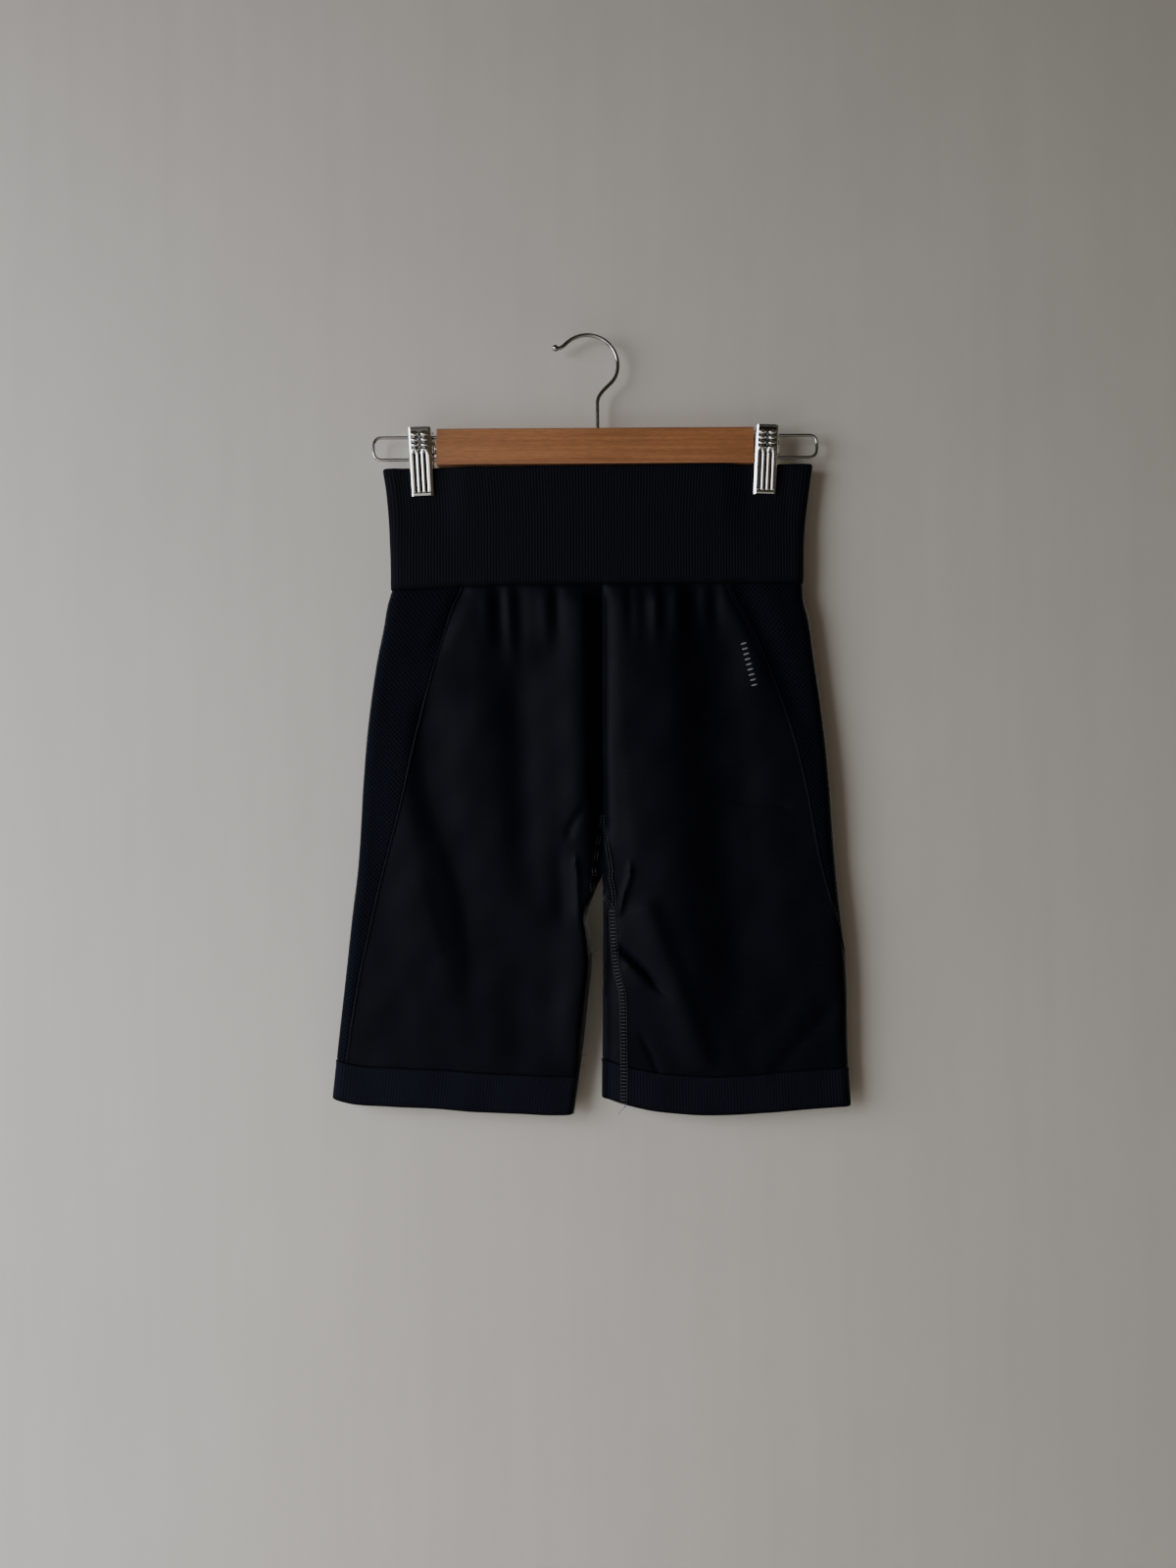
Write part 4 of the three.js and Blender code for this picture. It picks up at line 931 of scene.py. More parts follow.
def seam_ridge(distance, z):
    """The raised, slightly puckered strip along a flat seam."""
    pucker = 0.22 * np.sin(z / 1.9) * np.exp(-distance / 5)
    return 0.4 * np.exp(-(distance / 1.9) ** 4) - 0.3 * bump(distance, 0.35) + pucker


def edge_tuck(z):
    """The cloth turns in where it goes under the waistband and into the hem."""
    return -0.55 * bump(z - BODY_TOP, 1.3) - 0.35 * bump(z - BODY_FOOT, 1.0)


def cloth_grid(side, places, levels, leg, lift, around, turned):
    """One grid of a cloth shell: its places at each level, their lift and how far round they lie."""
    z = np.broadcast_to(levels[:, None], places.shape)
    return SimpleNamespace(
        outer=cloth(side, places, z, leg), inner=cloth(side, places, z, leg, BODY_WALL), lift=lift,
        places=np.stack([around * MM, z * MM, np.zeros_like(z)], -1), turned=turned)


def main_panel(face, steps):
    """The front or back: two halves that share the centre line above the gusset."""
    even = np.linspace(0, 1, steps)[None, 1:]
    last = 1 - (1 - np.linspace(0, 1, 15)[None, 1:]) ** 1.5
    for side in SIDES:
        for levels, leg in ((ABOVE, False), (BELOW, True)):
            s = section(side, levels, leg)
            z = levels[:, None]
            start = face * side_line(side, face, levels)[:, None]
            end = face * inner_border(side, face, levels, leg)[:, None]
            turn = (s.length - s.fold_arc - GUSSET_HALF - 5)[:, None]
            close = start + SEAM_GAP + CLOSE
            # Columns crowd towards the centre and more so towards the seam.
            wide = close[:, -1:] + (turn - close[:, -1:]) * even * (1.5 - 0.5 * even)
            places = np.concatenate([close, wide, turn + (end - turn) * last], 1)
            doubled = 1.0 if side > 0 and face > 0 else 0.0
            seamed = ease(GUSSET_TOP - z, -2, 6)
            lift = side_bead(places - start, z, doubled) + seam_ridge(end - places, z) * seamed + edge_tuck(z)
            whole = section(side, np.maximum(levels, CROTCH), False).length[:, None]
            yield cloth_grid(side, face * places, levels, leg, lift, side * (whole - places), side * face > 0)


def side_panel(side):
    """A mesh panel, from the front line round the side fold to the back one."""
    levels = np.unique(np.concatenate([ABOVE, BELOW]))[::-1]
    near = CLOSE[:5] * 1.2
    for leg in (False, True):
        here = levels[levels <= CROTCH] if leg else levels[levels >= CROTCH]
        front = (side_line(side, 1, here) - SEAM_GAP)[:, None]
        back = (side_line(side, -1, here) + SEAM_GAP)[:, None]
        low, high = back + near, front - near[::-1]
        middle = low[:, -1:] + (high[:, :1] - low[:, -1:]) * np.linspace(0, 1, 34)[None, 1:-1]
        places = np.concatenate([low, middle, high], 1)
        sunk = 0.35 * (bump(places - front, 0.5) + bump(places - back, 0.5))
        yield cloth_grid(side, places, here, leg, edge_tuck(here[:, None]) - sunk, places, side > 0)


def gusset_grids():
    """The gusset: a diamond with points in front, behind and on the two inseams."""
    top = np.minimum(ABOVE[ABOVE <= GUSSET_TOP + 1e-6], GUSSET_TOP - 2 * SEAM_GAP)
    low = np.maximum(BELOW[BELOW >= GUSSET_FOOT - 1e-6], GUSSET_FOOT + 2 * SEAM_GAP)
    crotch = np.array([CROTCH])
    for side in SIDES:
        length = section(side, top, False).length[:, None]
        for face in SIDES:
            border = abs(inner_border(side, face, top, False))[:, None] + 2 * SEAM_GAP
            places = border + (length - border) * np.linspace(0, 1, 7)
            z = top[:, None]
            lift = seam_ridge(places - border, z) * ease(GUSSET_TOP - z, 0, 6)
            yield cloth_grid(side, face * places, top, False, lift, side * (length - places), side * face > 0)
        middle, half = gusset_at(side, low)
        reach = np.maximum(half - SEAM_GAP, 0)[:, None]
        crotch_arc = section(side, crotch, True).fold_arc[0]
        at_fold = crotch_arc / (GUSSET_HALF + crotch_arc - SEAM_GAP)
        steps = np.concatenate([
            np.linspace(1, at_fold, 7), np.linspace(at_fold, -at_fold, 15)[1:-1],
            np.linspace(-at_fold, -1, 7)])
        places = (section(side, low, True).length - middle)[:, None] - reach * steps
        lift = seam_ridge(reach * (1 - abs(steps)), low[:, None])
        whole = section(side, crotch, False).length[0]
        yield cloth_grid(side, places, low, True, lift, side * (whole - places), side > 0)


def ring_rows(top, foot, wall, step, rim=0.0):
    """
    Rows of a band folded double: out up the outer side, over the top, down the inner side and under. rim is
    how far its upper edge stands out.
    """
    r = wall / 2
    high, low = top - r, foot + r
    bends = np.linspace(0, math.pi, 6)[1:-1]
    outside = np.unique(np.concatenate([levels_down(high, low, step), high - EDGE_STEPS[1:]]))
    inside = levels_down(high, low, step * 2.5)
    z = np.concatenate([outside, high + r * np.sin(bends), inside, low - r * np.sin(bends)])
    over = r * (1 - np.cos(bends))
    inset = np.concatenate([
        -rim * bump(outside - high + 0.4, 0.9), over, np.full(len(inside), wall), wall - over])
    ribbed = np.concatenate([
        ease(outside, low - 1, low + 2.5) * (1 - ease(outside, high - 1.2, high + 1.2) * 0.6),
        np.full(len(bends), 0.3), np.zeros(len(inside) + len(bends))])
    return z, inset, ribbed


def band_ring(name, halves, rows, rib_count, rib_height, material):
    """A ribbed ring. halves gives the side, the leg and the shares of the way round of its columns."""
    z_rows, inset_rows, ribbed_rows = rows
    points = np.concatenate([
        cloth(side, section(side, z_rows, leg).length[:, None] * (1 - 2 * shares), z_rows[:, None], leg,
              inset_rows[:, None])
        for side, leg, shares, _ in halves], 1)
    around = np.concatenate([phase for *_, phase in halves])
    rows_count, columns = points.shape[:2]
    quads = grid_faces(rows_count, columns, 0, False, round_rows=True, round_columns=True)
    flat = points.reshape(-1, 3)
    a, b, c = (flat[quads[:, k]] for k in range(3))
    if np.einsum("ij,ij->i", a, np.cross(b, c)).sum() < 0:
        quads = quads[:, ::-1]
    piece = add_piece(name, flat, quads.tolist(), values={
        "around": np.tile(around, rows_count), "ribbed": np.repeat(ribbed_rows, columns)})
    return use_tree(piece, shared(bpy.data.node_groups, "Raised Ribs", rib_tree), {
        "Rib Count": float(rib_count), "Rib Height": rib_height, "Material": material})


def seam_line(side, leg, levels, place, lift, offset=0.0):
    """Points just above the cloth along a seam and the way out of the cloth at each."""
    step = 0.6
    at = place + offset
    if not leg:
        most = section(side, levels, leg).length - step - 0.1
        at = np.clip(at, -most, most)
    here = cloth(side, at, levels, leg)
    across = cloth(side, at + step, levels, leg) - cloth(side, at - step, levels, leg)
    # Over the crotch, levels above and below lie on different surfaces, so the step only goes down.
    down = cloth(side, at, levels - step, leg) - here
    out = np.cross(across, down) * side
    out /= np.linalg.norm(out, axis=1, keepdims=True)
    return here + out * lift, out


def stitch_piece(name, runs, material):
    """One piece of stitching from runs of points, each with its way out, stitch spacing and size."""
    tree = shared(bpy.data.node_groups, "Stitch Run", stitch_tree)
    made = []
    for points, out, spacing, size in runs:
        edges = [(k, k + 1) for k in range(len(points) - 1)]
        run = add_piece(name, points, [], values={"out": out}, edges=edges)
        made.append(use_tree(run, tree, {
            "Stitch Spacing": spacing * MM, "Stitch Size": [v * MM for v in size], "Material": material}))
    first = made[0]
    if len(made) > 1:
        with bpy.context.temp_override(active_object=first, object=first, selected_editable_objects=made,
                                       selected_objects=made):
            bpy.ops.object.join()
    return first


# ---------------------------------------------------------------- hard pieces

def arc_points(centre, radius, start, end, count):
    """Points of an arc in the XZ plane, angles in degrees."""
    angles = np.radians(np.linspace(start, end, count))
    return np.stack([centre[0] + radius * np.cos(angles), centre[1] + radius * np.sin(angles)], 1)


def bezier(*corners, count=16):
    """Points of a quadratic or cubic Bezier curve."""
    t = np.linspace(0, 1, count)[:, None]
    corners = [np.array(c, float) for c in corners]
    while len(corners) > 1:
        corners = [a + (b - a) * t for a, b in zip(corners, corners[1:])]
    return corners[0]


def flat_line(*parts):
    """Several runs of (x, z) points as one line in the XZ plane, evenly spaced."""
    points = np.concatenate(parts)
    steps = np.linalg.norm(np.diff(points, axis=0), axis=1)
    points = points[np.concatenate([[True], steps > 1e-6])]
    way = np.concatenate([[0], np.cumsum(np.linalg.norm(np.diff(points, axis=0), axis=1))])
    even = np.linspace(0, way[-1], round(way[-1] / 0.9))
    x, z = (np.interp(even, way, points[:, k]) for k in range(2))
    return np.stack([x, np.zeros_like(x), z], 1), even


def hook_line():
    """The middle of the hook's wire, from inside the bar to its tip, and how far along it each point lies."""
    bend = arc_points((HOOK.middle, HOOK.radius - HOOK.bend), HOOK.bend, *HOOK.arc, 90)
    foot = BAR.z + BAR.height / 2 - HOOK.inside
    stem, neck, tip = HOOK.stem, HOOK.neck, np.array(HOOK.tip)
    return flat_line(
        np.array([[stem, foot], [stem, neck]]),
        bezier((stem, neck), (stem, neck + 3), (stem + 2, neck + 6.2)),
        bezier((stem + 2, neck + 6.2), (stem + 7.6, neck + 14.2), bend[0] + (-1.6, -9), bend[0], count=32),
        bend, bezier(bend[-1], bend[-1] + (-3.6, -2.8), tip + (4.6, -1.2), tip))


def hook_mesh():
    """The hook: round wire that swells to a ball at its tip."""
    line, way = hook_line()
    ball_at = way[-1]
    far = ball_at + HOOK.ball
    tail = line[-1] + (line[-1] - line[-2]) / np.linalg.norm(line[-1] - line[-2]) * HOOK.ball
    before = line[way < ball_at - HOOK.ball]
    steps = np.linspace(ball_at - HOOK.ball, far, 13)
    beyond = [np.array([np.interp(t, np.append(way, far), np.append(line[:, k], tail[k])) for k in range(3)])
              for t in steps]
    radii = np.sqrt(np.maximum(HOOK.ball**2 - (steps - ball_at) ** 2, 0))
    radii = np.where(steps < ball_at, np.maximum(radii, HOOK.radius), radii)
    return tube(np.concatenate([before, beyond]),
                np.concatenate([np.full(len(before), HOOK.radius), np.maximum(radii, 0.02)]), 20)


def loop_mesh(side):
    """A wire loop that comes out of one end of the bar."""
    inside = BAR.x + side * (BAR.length / 2 - WIRE.inside)
    end = BAR.x + side * (BAR.length / 2 + WIRE.reach)
    bend = end - side * WIRE.corner
    low, high = BAR.z - WIRE.rise, BAR.z + WIRE.rise
    line, _ = flat_line(
        np.array([[inside, high], [bend, high]]),
        bezier((bend, high), (end, high), (end, high - WIRE.corner), count=20),
        bezier((end, low + WIRE.corner), (end, low), (bend, low), count=20),
        np.array([[bend, low], [inside, low]]))
    return tube(line, WIRE.radius, 16)


def on_loop(points, side):
    """Leans a clip's points and puts them on their loop."""
    lean = math.radians(side * CLIP.lean)
    x = points[:, 0] * math.cos(lean) + points[:, 2] * math.sin(lean)
    z = points[:, 2] * math.cos(lean) - points[:, 0] * math.sin(lean)
    return np.stack([x + CLIP_X[side], points[:, 1], z + BAR.z], 1)


def clip_face(x, z):
    """
    How far the pressed face of a clip stands out at a place: scales above, ribs below and a lip. The second
    result is painted shade: how much the plating is darkened there, in the grooves and between the scales.
    """
    top, foot = CLIP.top - BAR.z, CLIP.foot - BAR.z
    rows = -z + top - SCALE.first
    row = np.clip(np.round(rows / RIDGE), 0, 3)
    dx, dz = (x - np.sign(x) * SCALE.aside) / SCALE.half_width, (rows - row * RIDGE) / SCALE.half_height
    round_scale = np.clip(1 - dx**2 - dz**2, 0, 1)
    # Each scale is steeper on its lower side.
    scales = SCALE.rise * np.sqrt(round_scale) * (0.7 + 0.4 * np.clip(dz, -1, 1))
    groove = np.abs(((x / RIDGE + 0.5) % 1) - 0.5) * RIDGE
    across = np.where(np.abs(x) < 1.5 * RIDGE, groove / (RIDGE / 2), 1)
    ribs = RIB.rise * np.sqrt(1 - (1 - across) ** 2) - RIB.sunk
    lip = LIP.rise * np.sqrt(np.clip(1 - ((z - foot - LIP.middle) / LIP.half) ** 2, 0, 1))
    lower = ease(-z, *RIB.start) * (1 - ease(-z, *RIB.end))
    upper = 1 - ease(-z, *SCALE.end)
    frame_top = 0.7 * ease(z, top - 1.5, top - 0.7)
    # Painted shade: the plating is darkened between the scales and in the grooves, so that only the ribs'
    # crests stay bright.
    tarnish = 0.9 * upper * ease(0.12 - round_scale, 0, 0.12) + 0.95 * lower * ease(0.62 - across, 0, 0.36)
    return scales * upper + ribs * lower + lip * ease(-z, *LIP.start) + frame_top, tarnish


def clip_mesh(face):
    """One pressed half of a clip: bevelled face, two flanges that bear on the wires, and the jaw's lip."""
    top, foot = CLIP.top - BAR.z, CLIP.foot - BAR.z
    z = np.concatenate([levels_down(top, -3.6, 0.42), levels_down(-3.6, -33.4, 1.6)[1:],
                        levels_down(-33.4, foot, 0.3)[1:]])
    plate = mix(CLIP.grip, CLIP.jaw_depth, (top - z) / (top - foot))
    # The flanges' edges rest on the wires, rise over the spring and close in on the cloth.
    rest = WIRE.radius + 0.3
    under = WIRE.rise + 3
    edge = rest + 3.5 * ease(z, 8.5, top)
    edge = np.where(z < -under, mix(rest, CLIP.jaw, ease(-z, under, under + 3)), edge)
    edge = np.maximum(edge, np.sqrt(np.maximum((CLIP.coil + 0.3) ** 2 - z**2, 0)))
    edge = np.minimum(edge, plate - 1.9)
    half = CLIP.width / 2
    low = plate - 1.7
    flange = ((half, edge), (half, mix(edge, low, 0.5)), (half, low), (half - 0.18, plate - 1.45),
              (half - 0.9, plate - 0.75), (half - 1.75, plate - 0.12), (half - 2.0, plate))
    x, level = np.meshgrid(np.linspace(-6.6, 6.6, 67), z)
    stands, dark = clip_face(x, level)
    columns = [np.stack([np.full_like(z, -out), -depth, z], 1)[:, None] for out, depth in flange]
    mirrored = [column * (-1, 1, 1) for column in reversed(columns)]
    outer = np.concatenate([*columns, np.stack([x, -(plate[:, None] + stands), level], 2), *mirrored], 1)
    # The floor of the jaw closes the half at its foot.
    floor = outer[-1].copy()
    floor[:, 1] = np.maximum(floor[:, 1], -CLIP.jaw - 0.2)
    outer = np.concatenate([outer, mix(outer[-1], floor, 0.5)[None], floor[None]])
    rows, width = outer.shape[:2]
    quads = grid_faces(rows, width, 0, False)
    points = outer.reshape(-1, 3)
    normals = normals_of(points, quads)
    if normals[:, 1].sum() > 0:
        quads, normals = quads[:, ::-1], -normals
    # Painted shade on the face's pattern, and half as much over the whole inner side.
    tarnish = np.zeros((rows, width))
    tarnish[:len(z), len(flange):-len(flange)] = dark
    total = len(points)
    made = np.concatenate([points, points - normals * CLIP.sheet])
    if face > 0:
        made = made * (-1, -1, 1)
    return made, walled(quads, total), np.concatenate([tarnish.ravel(), np.full(total, 0.5)])


# ---------------------------------------------------------------- operators

def plain_cloth(context):
    """The material of the front, the back and the gusset."""
    return shared(bpy.data.materials, "plain_knit_polyamide", plain_knit,
                  tuple(context.scene.shorts_cloth.plain_colour))


def thread_of(context):
    """The material of the stitching and the loose ends."""
    return shared(bpy.data.materials, "polyester_thread", seam_thread,
                  tuple(context.scene.shorts_seams.thread_colour))


class SHORTS_OT_waistband(bpy.types.Operator):
    """Makes the ribbed waistband, folded double"""

    bl_idname = "shorts.waistband"
    bl_label = "Waistband"

    def execute(self, context):
        sizes = context.scene.shorts_cloth
        count = 2 * round(BAND_SIDE * MM / sizes.rib_pitch)
        steps = 2 * count
        shares = np.arange(steps + 1) / steps
        halves = ((1, False, shares, shares / 2), (-1, False, shares[-2:0:-1], 1 - shares[-2:0:-1] / 2))
        rows = ring_rows(WAIST_TOP, WAIST_SEAM, BAND_WALL, 3.6)
        piece = band_ring("waistband_knit", halves, rows, count, sizes.rib_height,
                          rib_knit("rib_knit_polyamide", tuple(sizes.rib_colour)))
        hand_over(piece, "rib_knit", "waistband")
        return {"FINISHED"}


class SHORTS_OT_panels(bpy.types.Operator):
    """Makes the gathered front and back of plain knit"""

    bl_idname = "shorts.panels"
    bl_label = "Front and Back"

    def execute(self, context):
        material = plain_cloth(context)
        front = shell("front_knit", main_panel(1, 68), material)
        hand_over(front, "plain_knit", "front_panel")
        back = shell("back_knit", main_panel(-1, 56), material)
        hand_over(back, "plain_knit", "back_panel")
        return {"FINISHED"}


class SHORTS_OT_gusset(bpy.types.Operator):
    """Makes the diamond gusset between the legs"""

    bl_idname = "shorts.gusset"
    bl_label = "Gusset"

    def execute(self, context):
        piece = shell("gusset_knit", gusset_grids(), plain_cloth(context))
        hand_over(piece, "plain_knit", "gusset")
        return {"FINISHED"}


class SHORTS_OT_side_panels(bpy.types.Operator):
    """Makes the mesh side panels, which wrap the side folds"""

    bl_idname = "shorts.side_panels"
    bl_label = "Mesh Sides"

    def execute(self, context):
        material = mesh_knit("birdseye_knit_polyamide", tuple(context.scene.shorts_cloth.mesh_colour))
        for side, name in SIDE_NAMES.items():
            piece = shell(f"side_mesh_{name}", side_panel(side), material)
            hand_over(piece, "mesh_knit", f"side_panel_{name}")
        return {"FINISHED"}


class SHORTS_OT_hem_bands(bpy.types.Operator):
    """Makes the ribbed bands at the leg ends"""

    bl_idname = "shorts.hem_bands"
    bl_label = "Hem Bands"

    def execute(self, context):
        sizes = context.scene.shorts_cloth
        material = rib_knit("turned_rib_polyamide", tuple(sizes.hem_colour))
        rows = ring_rows(HEM_TOP, HEM_FOOT, HEM_WALL, 2.6, HEM_RIM)
        count = round(HEM_ROUND * MM / sizes.rib_pitch)
        shares = np.arange(4 * count) / (4 * count)
        for side, name in SIDE_NAMES.items():
            piece = band_ring(f"hem_rib_{name}", ((side, True, shares, shares),), rows, count,
                              sizes.hem_rib_height, material)
            hand_over(piece, "rib_knit", f"hem_band_{name}")
        return {"FINISHED"}


class SHORTS_OT_stitching(bpy.types.Operator):
    """Lays the flat seams' ladders on the inseams and the double row round the gusset"""

    bl_idname = "shorts.stitching"
    bl_label = "Stitching"

    def execute(self, context):
        seams = context.scene.shorts_seams
        material = thread_of(context)
        thread, stitch, width, pitch = (
            v / MM for v in (seams.thread, seams.stitch, seams.seam_width, seams.bar_pitch))
        row = (stitch, (stitch * 0.9, thread, thread))
        bars = (pitch, (thread * 1.7, width, thread))
        for side, name in SIDE_NAMES.items():
            levels = np.concatenate([levels_down(GUSSET_FOOT - 1, BODY_FOOT, 2),
                                     levels_down(BODY_FOOT, HEM_FOOT + 1, 3)[1:]])
            place = section(side, levels, True).length - smooth(INSEAMS, COLUMN[side], levels)
            runs = [(*seam_line(side, True, levels, place, 0.7, shift), *kind)
                    for shift, kind in ((0, bars), (-width / 2, row), (width / 2, row))]
            hand_over(stitch_piece(f"inseam_stitching_{name}", runs, material), "plain_knit")
        runs = []
        for side in SIDES:
            # The left rows are pulled into the cloth.
            sunk = 0.25 if side < 0 else 0.6
            for face in SIDES:
                for high, low, leg in ((GUSSET_TOP - 0.5, CROTCH + 0.6, False),
                                       (CROTCH - 0.8, GUSSET_FOOT + 0.5, True)):
                    levels = levels_down(high, low, 2)
                    place = inner_border(side, face, levels, leg)
                    runs += [(*seam_line(side, leg, levels, place, sunk, face * shift), *row)
                             for shift in (-0.9, 1.3)]
        hand_over(stitch_piece("gusset_stitching", runs, material), "plain_knit")
        return {"FINISHED"}


class SHORTS_OT_loose_threads(bpy.types.Operator):
    """Adds the frayed thread ends at the inseams"""

    bl_idname = "shorts.loose_threads"
    bl_label = "Loose Threads"

    def execute(self, context):
        chance = np.random.default_rng(7)
        parts = []
        # Where a tuft grows, which way it points, how many ends it has and how long they are.
        tufts = (((1.6, -1, -471), (0.9, 0, 0.1), 6, 3.4), ((-9.0, -1, -549), (0.8, 0, 0.3), 9, 4.0),
                 ((-10.4, -1, -558), (0.7, 0, 0.6), 12, 4.6), ((-12.0, -1, -572), (0.9, 0, -0.2), 3, 2.6),
                 ((26.0, -6.5, -586), (-0.3, -0.3, -0.9), 2, 4.5))
        for root, way, ends, length in tufts:
            for _ in range(ends):
                start = np.array(root) + chance.normal(0, 1, 3) * (0.5, 0.6, 1.6)
                lean = np.array(way) + chance.normal(0, 0.35, 3)
                curl = chance.normal(0, 0.5, 3)
                t = np.linspace(0, 1, 7)[:, None]
                line = start + (lean * t + curl * t**2) * length * chance.uniform(0.6, 1.1)
                parts.append(tube(line, 0.16, 5))
        piece = add_piece("loose_threads", *joined(parts), thread_of(context))
        hand_over(piece, "plain_knit")
        return {"FINISHED"}


class SHORTS_OT_reflective_mark(bpy.types.Operator):
    """Presses a row of plain reflective dashes on the front, beside the right mesh panel"""

    bl_idname = "shorts.reflective_mark"
    bl_label = "Reflective Dashes"

    def execute(self, context):
        material = reflective_print("reflective_film", tuple(context.scene.shorts_seams.mark_colour))
        levels = levels_down(*MARK.levels, 2)
        x = mix(*MARK.x, (levels - levels[0]) / (levels[-1] - levels[0]))
        s = section(1, levels, False)
        points, out = seam_line(1, False, levels, s.outer - EDGE_ROUND + s.edge_arc - x, MARK.lift)
        piece = stitch_piece("reflective_dashes", [(points, out, MARK.pitch, MARK.size)], material)
        hand_over(piece, "plain_knit")
        return {"FINISHED"}


class SHORTS_OT_hanger_wires(bpy.types.Operator):
    """Makes the hook and the two wire loops of round wire"""

    bl_idname = "shorts.hanger_wires"
    bl_label = "Hook and Loops"

    def execute(self, context):
        hanger = context.scene.shorts_hanger
        material = plated_steel("nickel_plated_wire", tuple(hanger.wire_colour), 0.1, 0.08)
        hand_over(add_piece("hook_wire", *hook_mesh(), material), "steel_wire", "hook")
        for side, name in SIDE_NAMES.items():
            loop = add_piece(f"loop_wire_{name}", *loop_mesh(side), material)
            hand_over(loop, "steel_wire", f"wire_loop_{name}")
        return {"FINISHED"}


class SHORTS_OT_hanger_bar(bpy.types.Operator):
    """Finishes the wooden bar, whose shape is the frame's own"""

    bl_idname = "shorts.hanger_bar"
    bl_label = "Wooden Bar"

    def execute(self, context):
        hanger = context.scene.shorts_hanger
        material = lacquered_beech("lacquered_beech", tuple(hanger.wood_colour), tuple(hanger.grain_colour))
        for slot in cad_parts["hanger_bar"].material_slots:
            slot.material = material
        return {"FINISHED"}


class SHORTS_OT_clips(bpy.types.Operator):
    """Makes the four pressed halves of the clips"""

    bl_idname = "shorts.clips"
    bl_label = "Clips"

    def execute(self, context):
        hanger = context.scene.shorts_hanger
        material = plated_steel("chromed_pressed_steel", tuple(hanger.metal_colour), 0.06, 0.08)
        for face, where in ((-1, "front"), (1, "back")):
            points, faces, tarnish = clip_mesh(face)
            for side, name in SIDE_NAMES.items():
                piece = add_piece(f"clip_plate_{where}_{name}", on_loop(points, side), faces, material,
                                  {"tarnish": tarnish})
                hand_over(piece, "chromed_clip", f"clip_{where}_{name}")
        return {"FINISHED"}


class SHORTS_OT_springs(bpy.types.Operator):
    """Winds the clips' coil springs"""

    bl_idname = "shorts.springs"
    bl_label = "Springs"

    def execute(self, context):
        hanger = context.scene.shorts_hanger
        material = plated_steel("bright_spring_wire", tuple(hanger.metal_colour), 0.1, 0.08)
        tree = coil_tree("Coil Spring")
        wire = CLIP.coil_wire
        start = CLIP.width / 2 + CLIP.coil_out - CLIP.coil_length + wire
        for side, name in SIDE_NAMES.items():
            piece = add_object(f"clip_coil_{name}", bpy.data.meshes.new(f"clip_coil_{name}"))
            use_tree(piece, tree, {
                "Turns": float(hanger.coil_turns), "Coil Radius": (CLIP.coil - wire) * MM,
                "Wire Radius": wire * MM, "Coil Length": (CLIP.coil_length - 2 * wire) * MM,
                "Material": material})
            piece.data.transform(
                Matrix.Translation(Vector((CLIP_X[side], 0, BAR.z)) * MM)
                @ Matrix.Rotation(math.radians(side * CLIP.lean), 4, "Y")
                @ Matrix.Translation(Vector((start * MM, 0, 0))) @ Matrix.Rotation(math.pi / 2, 4, "Y"))
            hand_over(piece, "steel_wire", f"clip_spring_{name}")
        return {"FINISHED"}


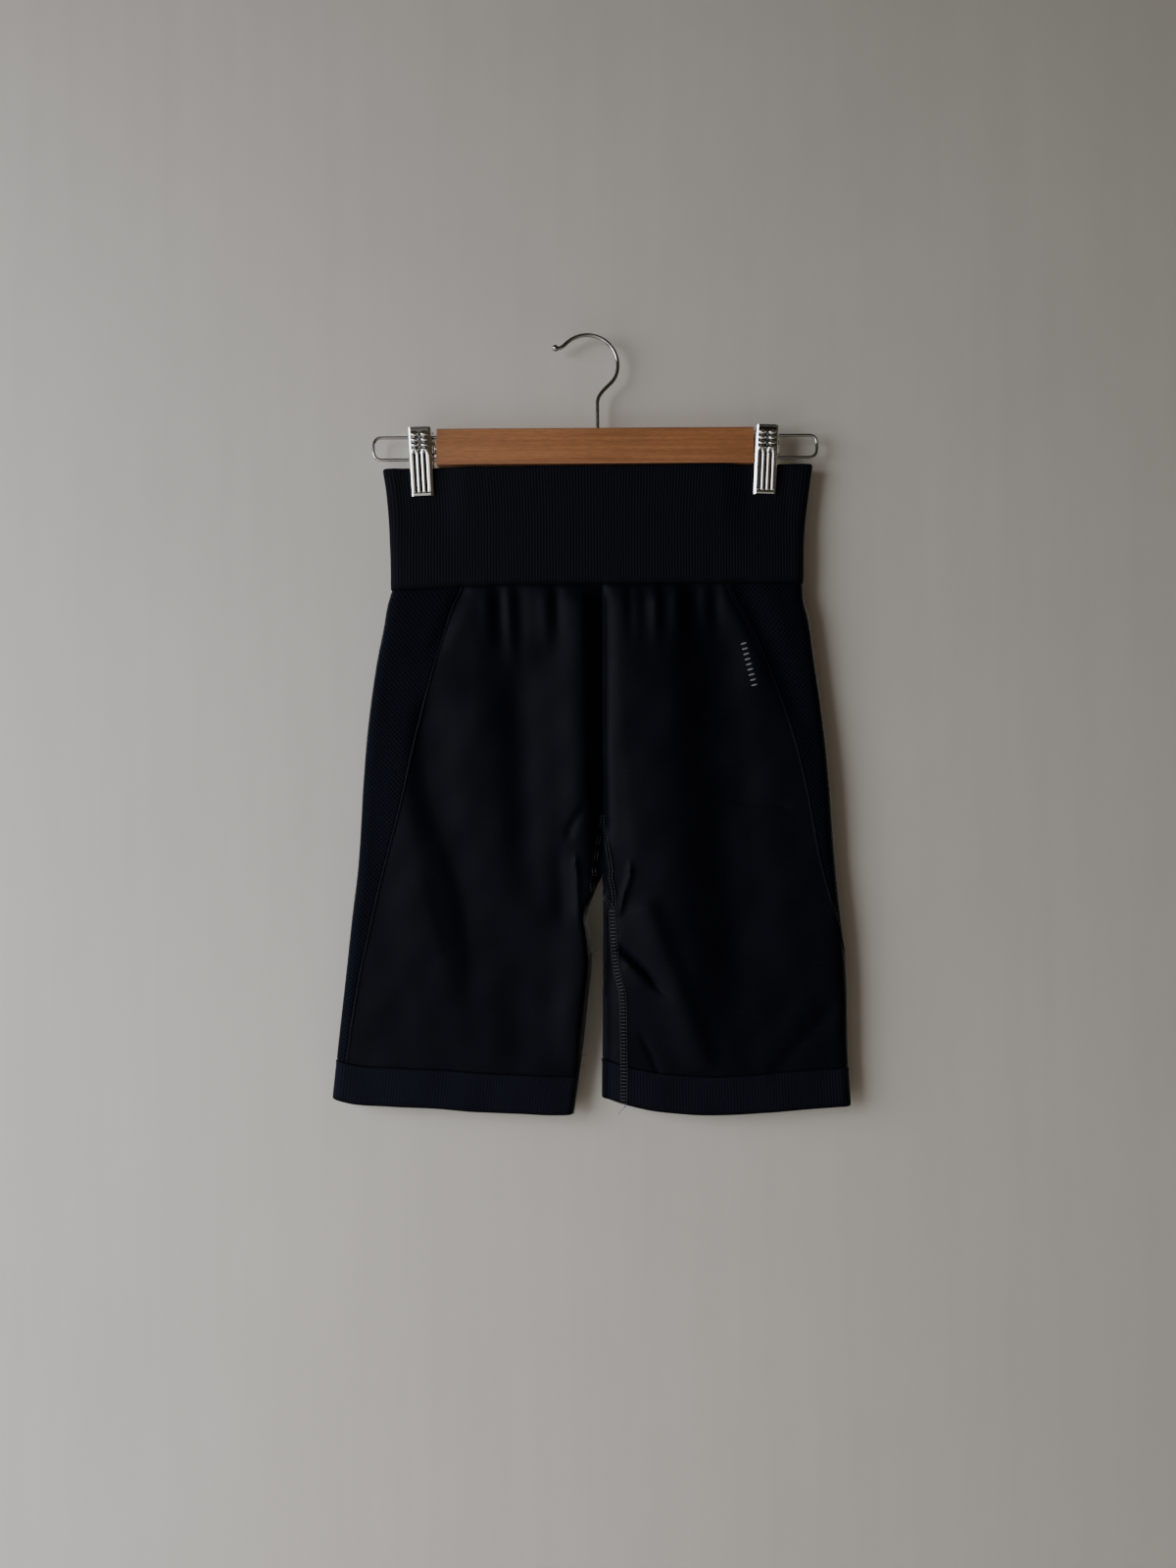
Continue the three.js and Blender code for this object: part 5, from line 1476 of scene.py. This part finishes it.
class SHORTS_OT_stage(bpy.types.Operator):
    """Sets the camera, the wall, the floor and the light"""

    bl_idname = "shorts.stage"
    bl_label = "Stage"

    def execute(self, context):
        stage = context.scene.shorts_stage
        self.add_camera(context.scene)
        self.add_wall(stage)
        self.add_backdrop(stage)
        self.add_lights(stage)
        self.add_world(context.scene)
        return {"FINISHED"}

    @staticmethod
    def add_camera(scene):
        """A camera 0.9 m in front, level with the thighs and turned by a third of a degree."""
        data = bpy.data.cameras.new("camera")
        data.sensor_width = data.sensor_height = CAMERA.sensor
        data.lens = CAMERA.lens
        data.clip_start, data.clip_end = 0.01, 50
        camera = add_object("camera", data)
        roll = math.radians(CAMERA.roll)
        right = Vector((math.cos(roll), 0, -math.sin(roll)))
        up = Vector((math.sin(roll), 0, math.cos(roll)))
        turn = Matrix((right, up, Vector((0, -1, 0)))).transposed()
        camera.matrix_world = Matrix.Translation(CAMERA.place) @ turn.to_4x4()
        scene.camera = camera

    @staticmethod
    def add_wall(stage):
        """A wall close behind that rounds into a floor, seen from its front only."""
        y, floor, bend = stage.wall_place, WALL.floor, WALL.bend
        angles = np.linspace(0, math.pi / 2, 17)
        profile = [(y, WALL.top)]
        profile += [(y - bend + bend * math.cos(a), floor + bend - bend * math.sin(a)) for a in angles]
        profile.append((WALL.front, floor))
        points = [(x, *place) for place in profile for x in (-WALL.half, WALL.half)]
        faces = [(2 * k, 2 * k + 2, 2 * k + 3, 2 * k + 1) for k in range(len(profile) - 1)]
        wall = add_piece("wall_and_floor", np.array(points) / MM, faces,
                         painted_wall("painted_plaster", tuple(stage.wall_colour)))
        wall.visible_shadow = False

    @staticmethod
    def add_backdrop(stage):
        """A plain pale dome that only the camera sees, so that the other views have a quiet ground."""
        material = bpy.data.materials.new("plain_backdrop")
        material.use_nodes = True
        tree = material.node_tree
        tree.nodes.clear()
        glow = add_node(tree, "ShaderNodeEmission", {"Color": (*stage.backdrop_colour, 1), "Strength": 0.8})
        add_node(tree, "ShaderNodeOutputMaterial", {"Surface": glow})
        tall = np.linspace(0.02, math.pi - 0.02, 12)[:, None]
        wide = np.linspace(0, 2 * math.pi, 24, endpoint=False)[None, :]
        ways = np.stack(np.broadcast_arrays(
            np.sin(tall) * np.cos(wide), np.sin(tall) * np.sin(wide), np.cos(tall)), -1)
        faces = grid_faces(*ways.shape[:2], 0, False, round_columns=True).tolist()
        dome = add_piece("plain_backdrop", ways.reshape(-1, 3) * DOME_RADIUS / MM, faces, material)
        dome.visible_diffuse = dome.visible_glossy = dome.visible_transmission = dome.visible_shadow = False

    @staticmethod
    def add_lights(stage):
        """A wide window in front to the left, little else in front, and softer lights for the back."""
        middle = (0.02, 0, -0.34)
        # name, place, what it faces, power, width, height and colour
        lamps = (
            ("window", (-1.76, -1.06, -0.25), (-0.74, 0, -1.9), stage.window_power, 1.6, 1.5, "#eff4fd"),
            ("front_card", (-1.0, -2.2, -0.25), middle, stage.card_power, 1.9, 1.4, "#fff4e6"),
            ("low_bounce", (-1.2, -1.0, -1.15), middle, stage.card_power * 0.5, 0.9, 0.7, "#eef3ff"),
            ("rear_left", (-1.3, 1.9, 0.5), middle, stage.rear_power, 1.6, 1.6, "#ffffff"),
            ("rear_right", (1.6, 1.5, 0.1), middle, stage.rear_power * 0.5, 1.4, 1.4, "#fff6ea"),
        )
        for name, place, aim, power, width, height, colour in lamps:
            data = bpy.data.lights.new(name, "AREA")
            data.shape = "RECTANGLE"
            data.size, data.size_y = width, height
            data.energy = power
            data.color = linear(colour)
            lamp = add_object(name, data)
            lamp.location = place
            lamp.rotation_euler = (Vector(aim) - Vector(place)).to_track_quat("-Z", "Y").to_euler()
            # The card only shows in the metal and the cloth's sheen.
            lamp.visible_diffuse = name != "front_card"

    @staticmethod
    def add_world(scene):
        """A faint warm light from all sides, as from the room."""
        world = bpy.data.worlds.new("room")
        world.use_nodes = True
        background = world.node_tree.nodes["Background"]
        background.inputs["Color"].default_value = (*linear("#e2cba8"), 1)
        background.inputs["Strength"].default_value = 0.1
        scene.world = world


class SHORTS_PT_panel(bpy.types.Panel):
    """Lists the pieces and their settings"""

    bl_idname = "SHORTS_PT_panel"
    bl_label = "Cycling Shorts"
    bl_space_type = "VIEW_3D"
    bl_region_type = "UI"
    bl_category = "Shorts"

    def draw(self, context):
        for group in GROUPS:
            settings = getattr(context.scene, group)
            box = self.layout.box()
            for name in settings.__annotations__:
                box.prop(settings, name)
        for operator in OPERATORS:
            self.layout.operator(operator.bl_idname)


# The pieces, in the order in which they are made.
OPERATORS = (
    SHORTS_OT_stage, SHORTS_OT_hanger_bar, SHORTS_OT_hanger_wires, SHORTS_OT_clips, SHORTS_OT_springs,
    SHORTS_OT_waistband, SHORTS_OT_panels, SHORTS_OT_gusset, SHORTS_OT_side_panels, SHORTS_OT_hem_bands,
    SHORTS_OT_stitching, SHORTS_OT_loose_threads, SHORTS_OT_reflective_mark,
)
GROUPS = {
    "shorts_cloth": ShortsCloth, "shorts_seams": ShortsSeams, "shorts_hanger": ShortsHanger,
    "shorts_stage": ShortsStage,
}


def register():
    """Registers the settings, the operators and the panel."""
    for name, group in GROUPS.items():
        bpy.utils.register_class(group)
        setattr(bpy.types.Scene, name, PointerProperty(type=group))
    for operator in OPERATORS:
        bpy.utils.register_class(operator)
    bpy.utils.register_class(SHORTS_PT_panel)


def unregister():
    """Takes them all away again."""
    bpy.utils.unregister_class(SHORTS_PT_panel)
    for operator in reversed(OPERATORS):
        bpy.utils.unregister_class(operator)
    for name, group in GROUPS.items():
        delattr(bpy.types.Scene, name)
        bpy.utils.unregister_class(group)


def main():
    """Builds everything in order."""
    register()
    for operator in OPERATORS:
        group, name = operator.bl_idname.split(".")
        getattr(getattr(bpy.ops, group), name)()


if __name__ == "__main__":
    main()
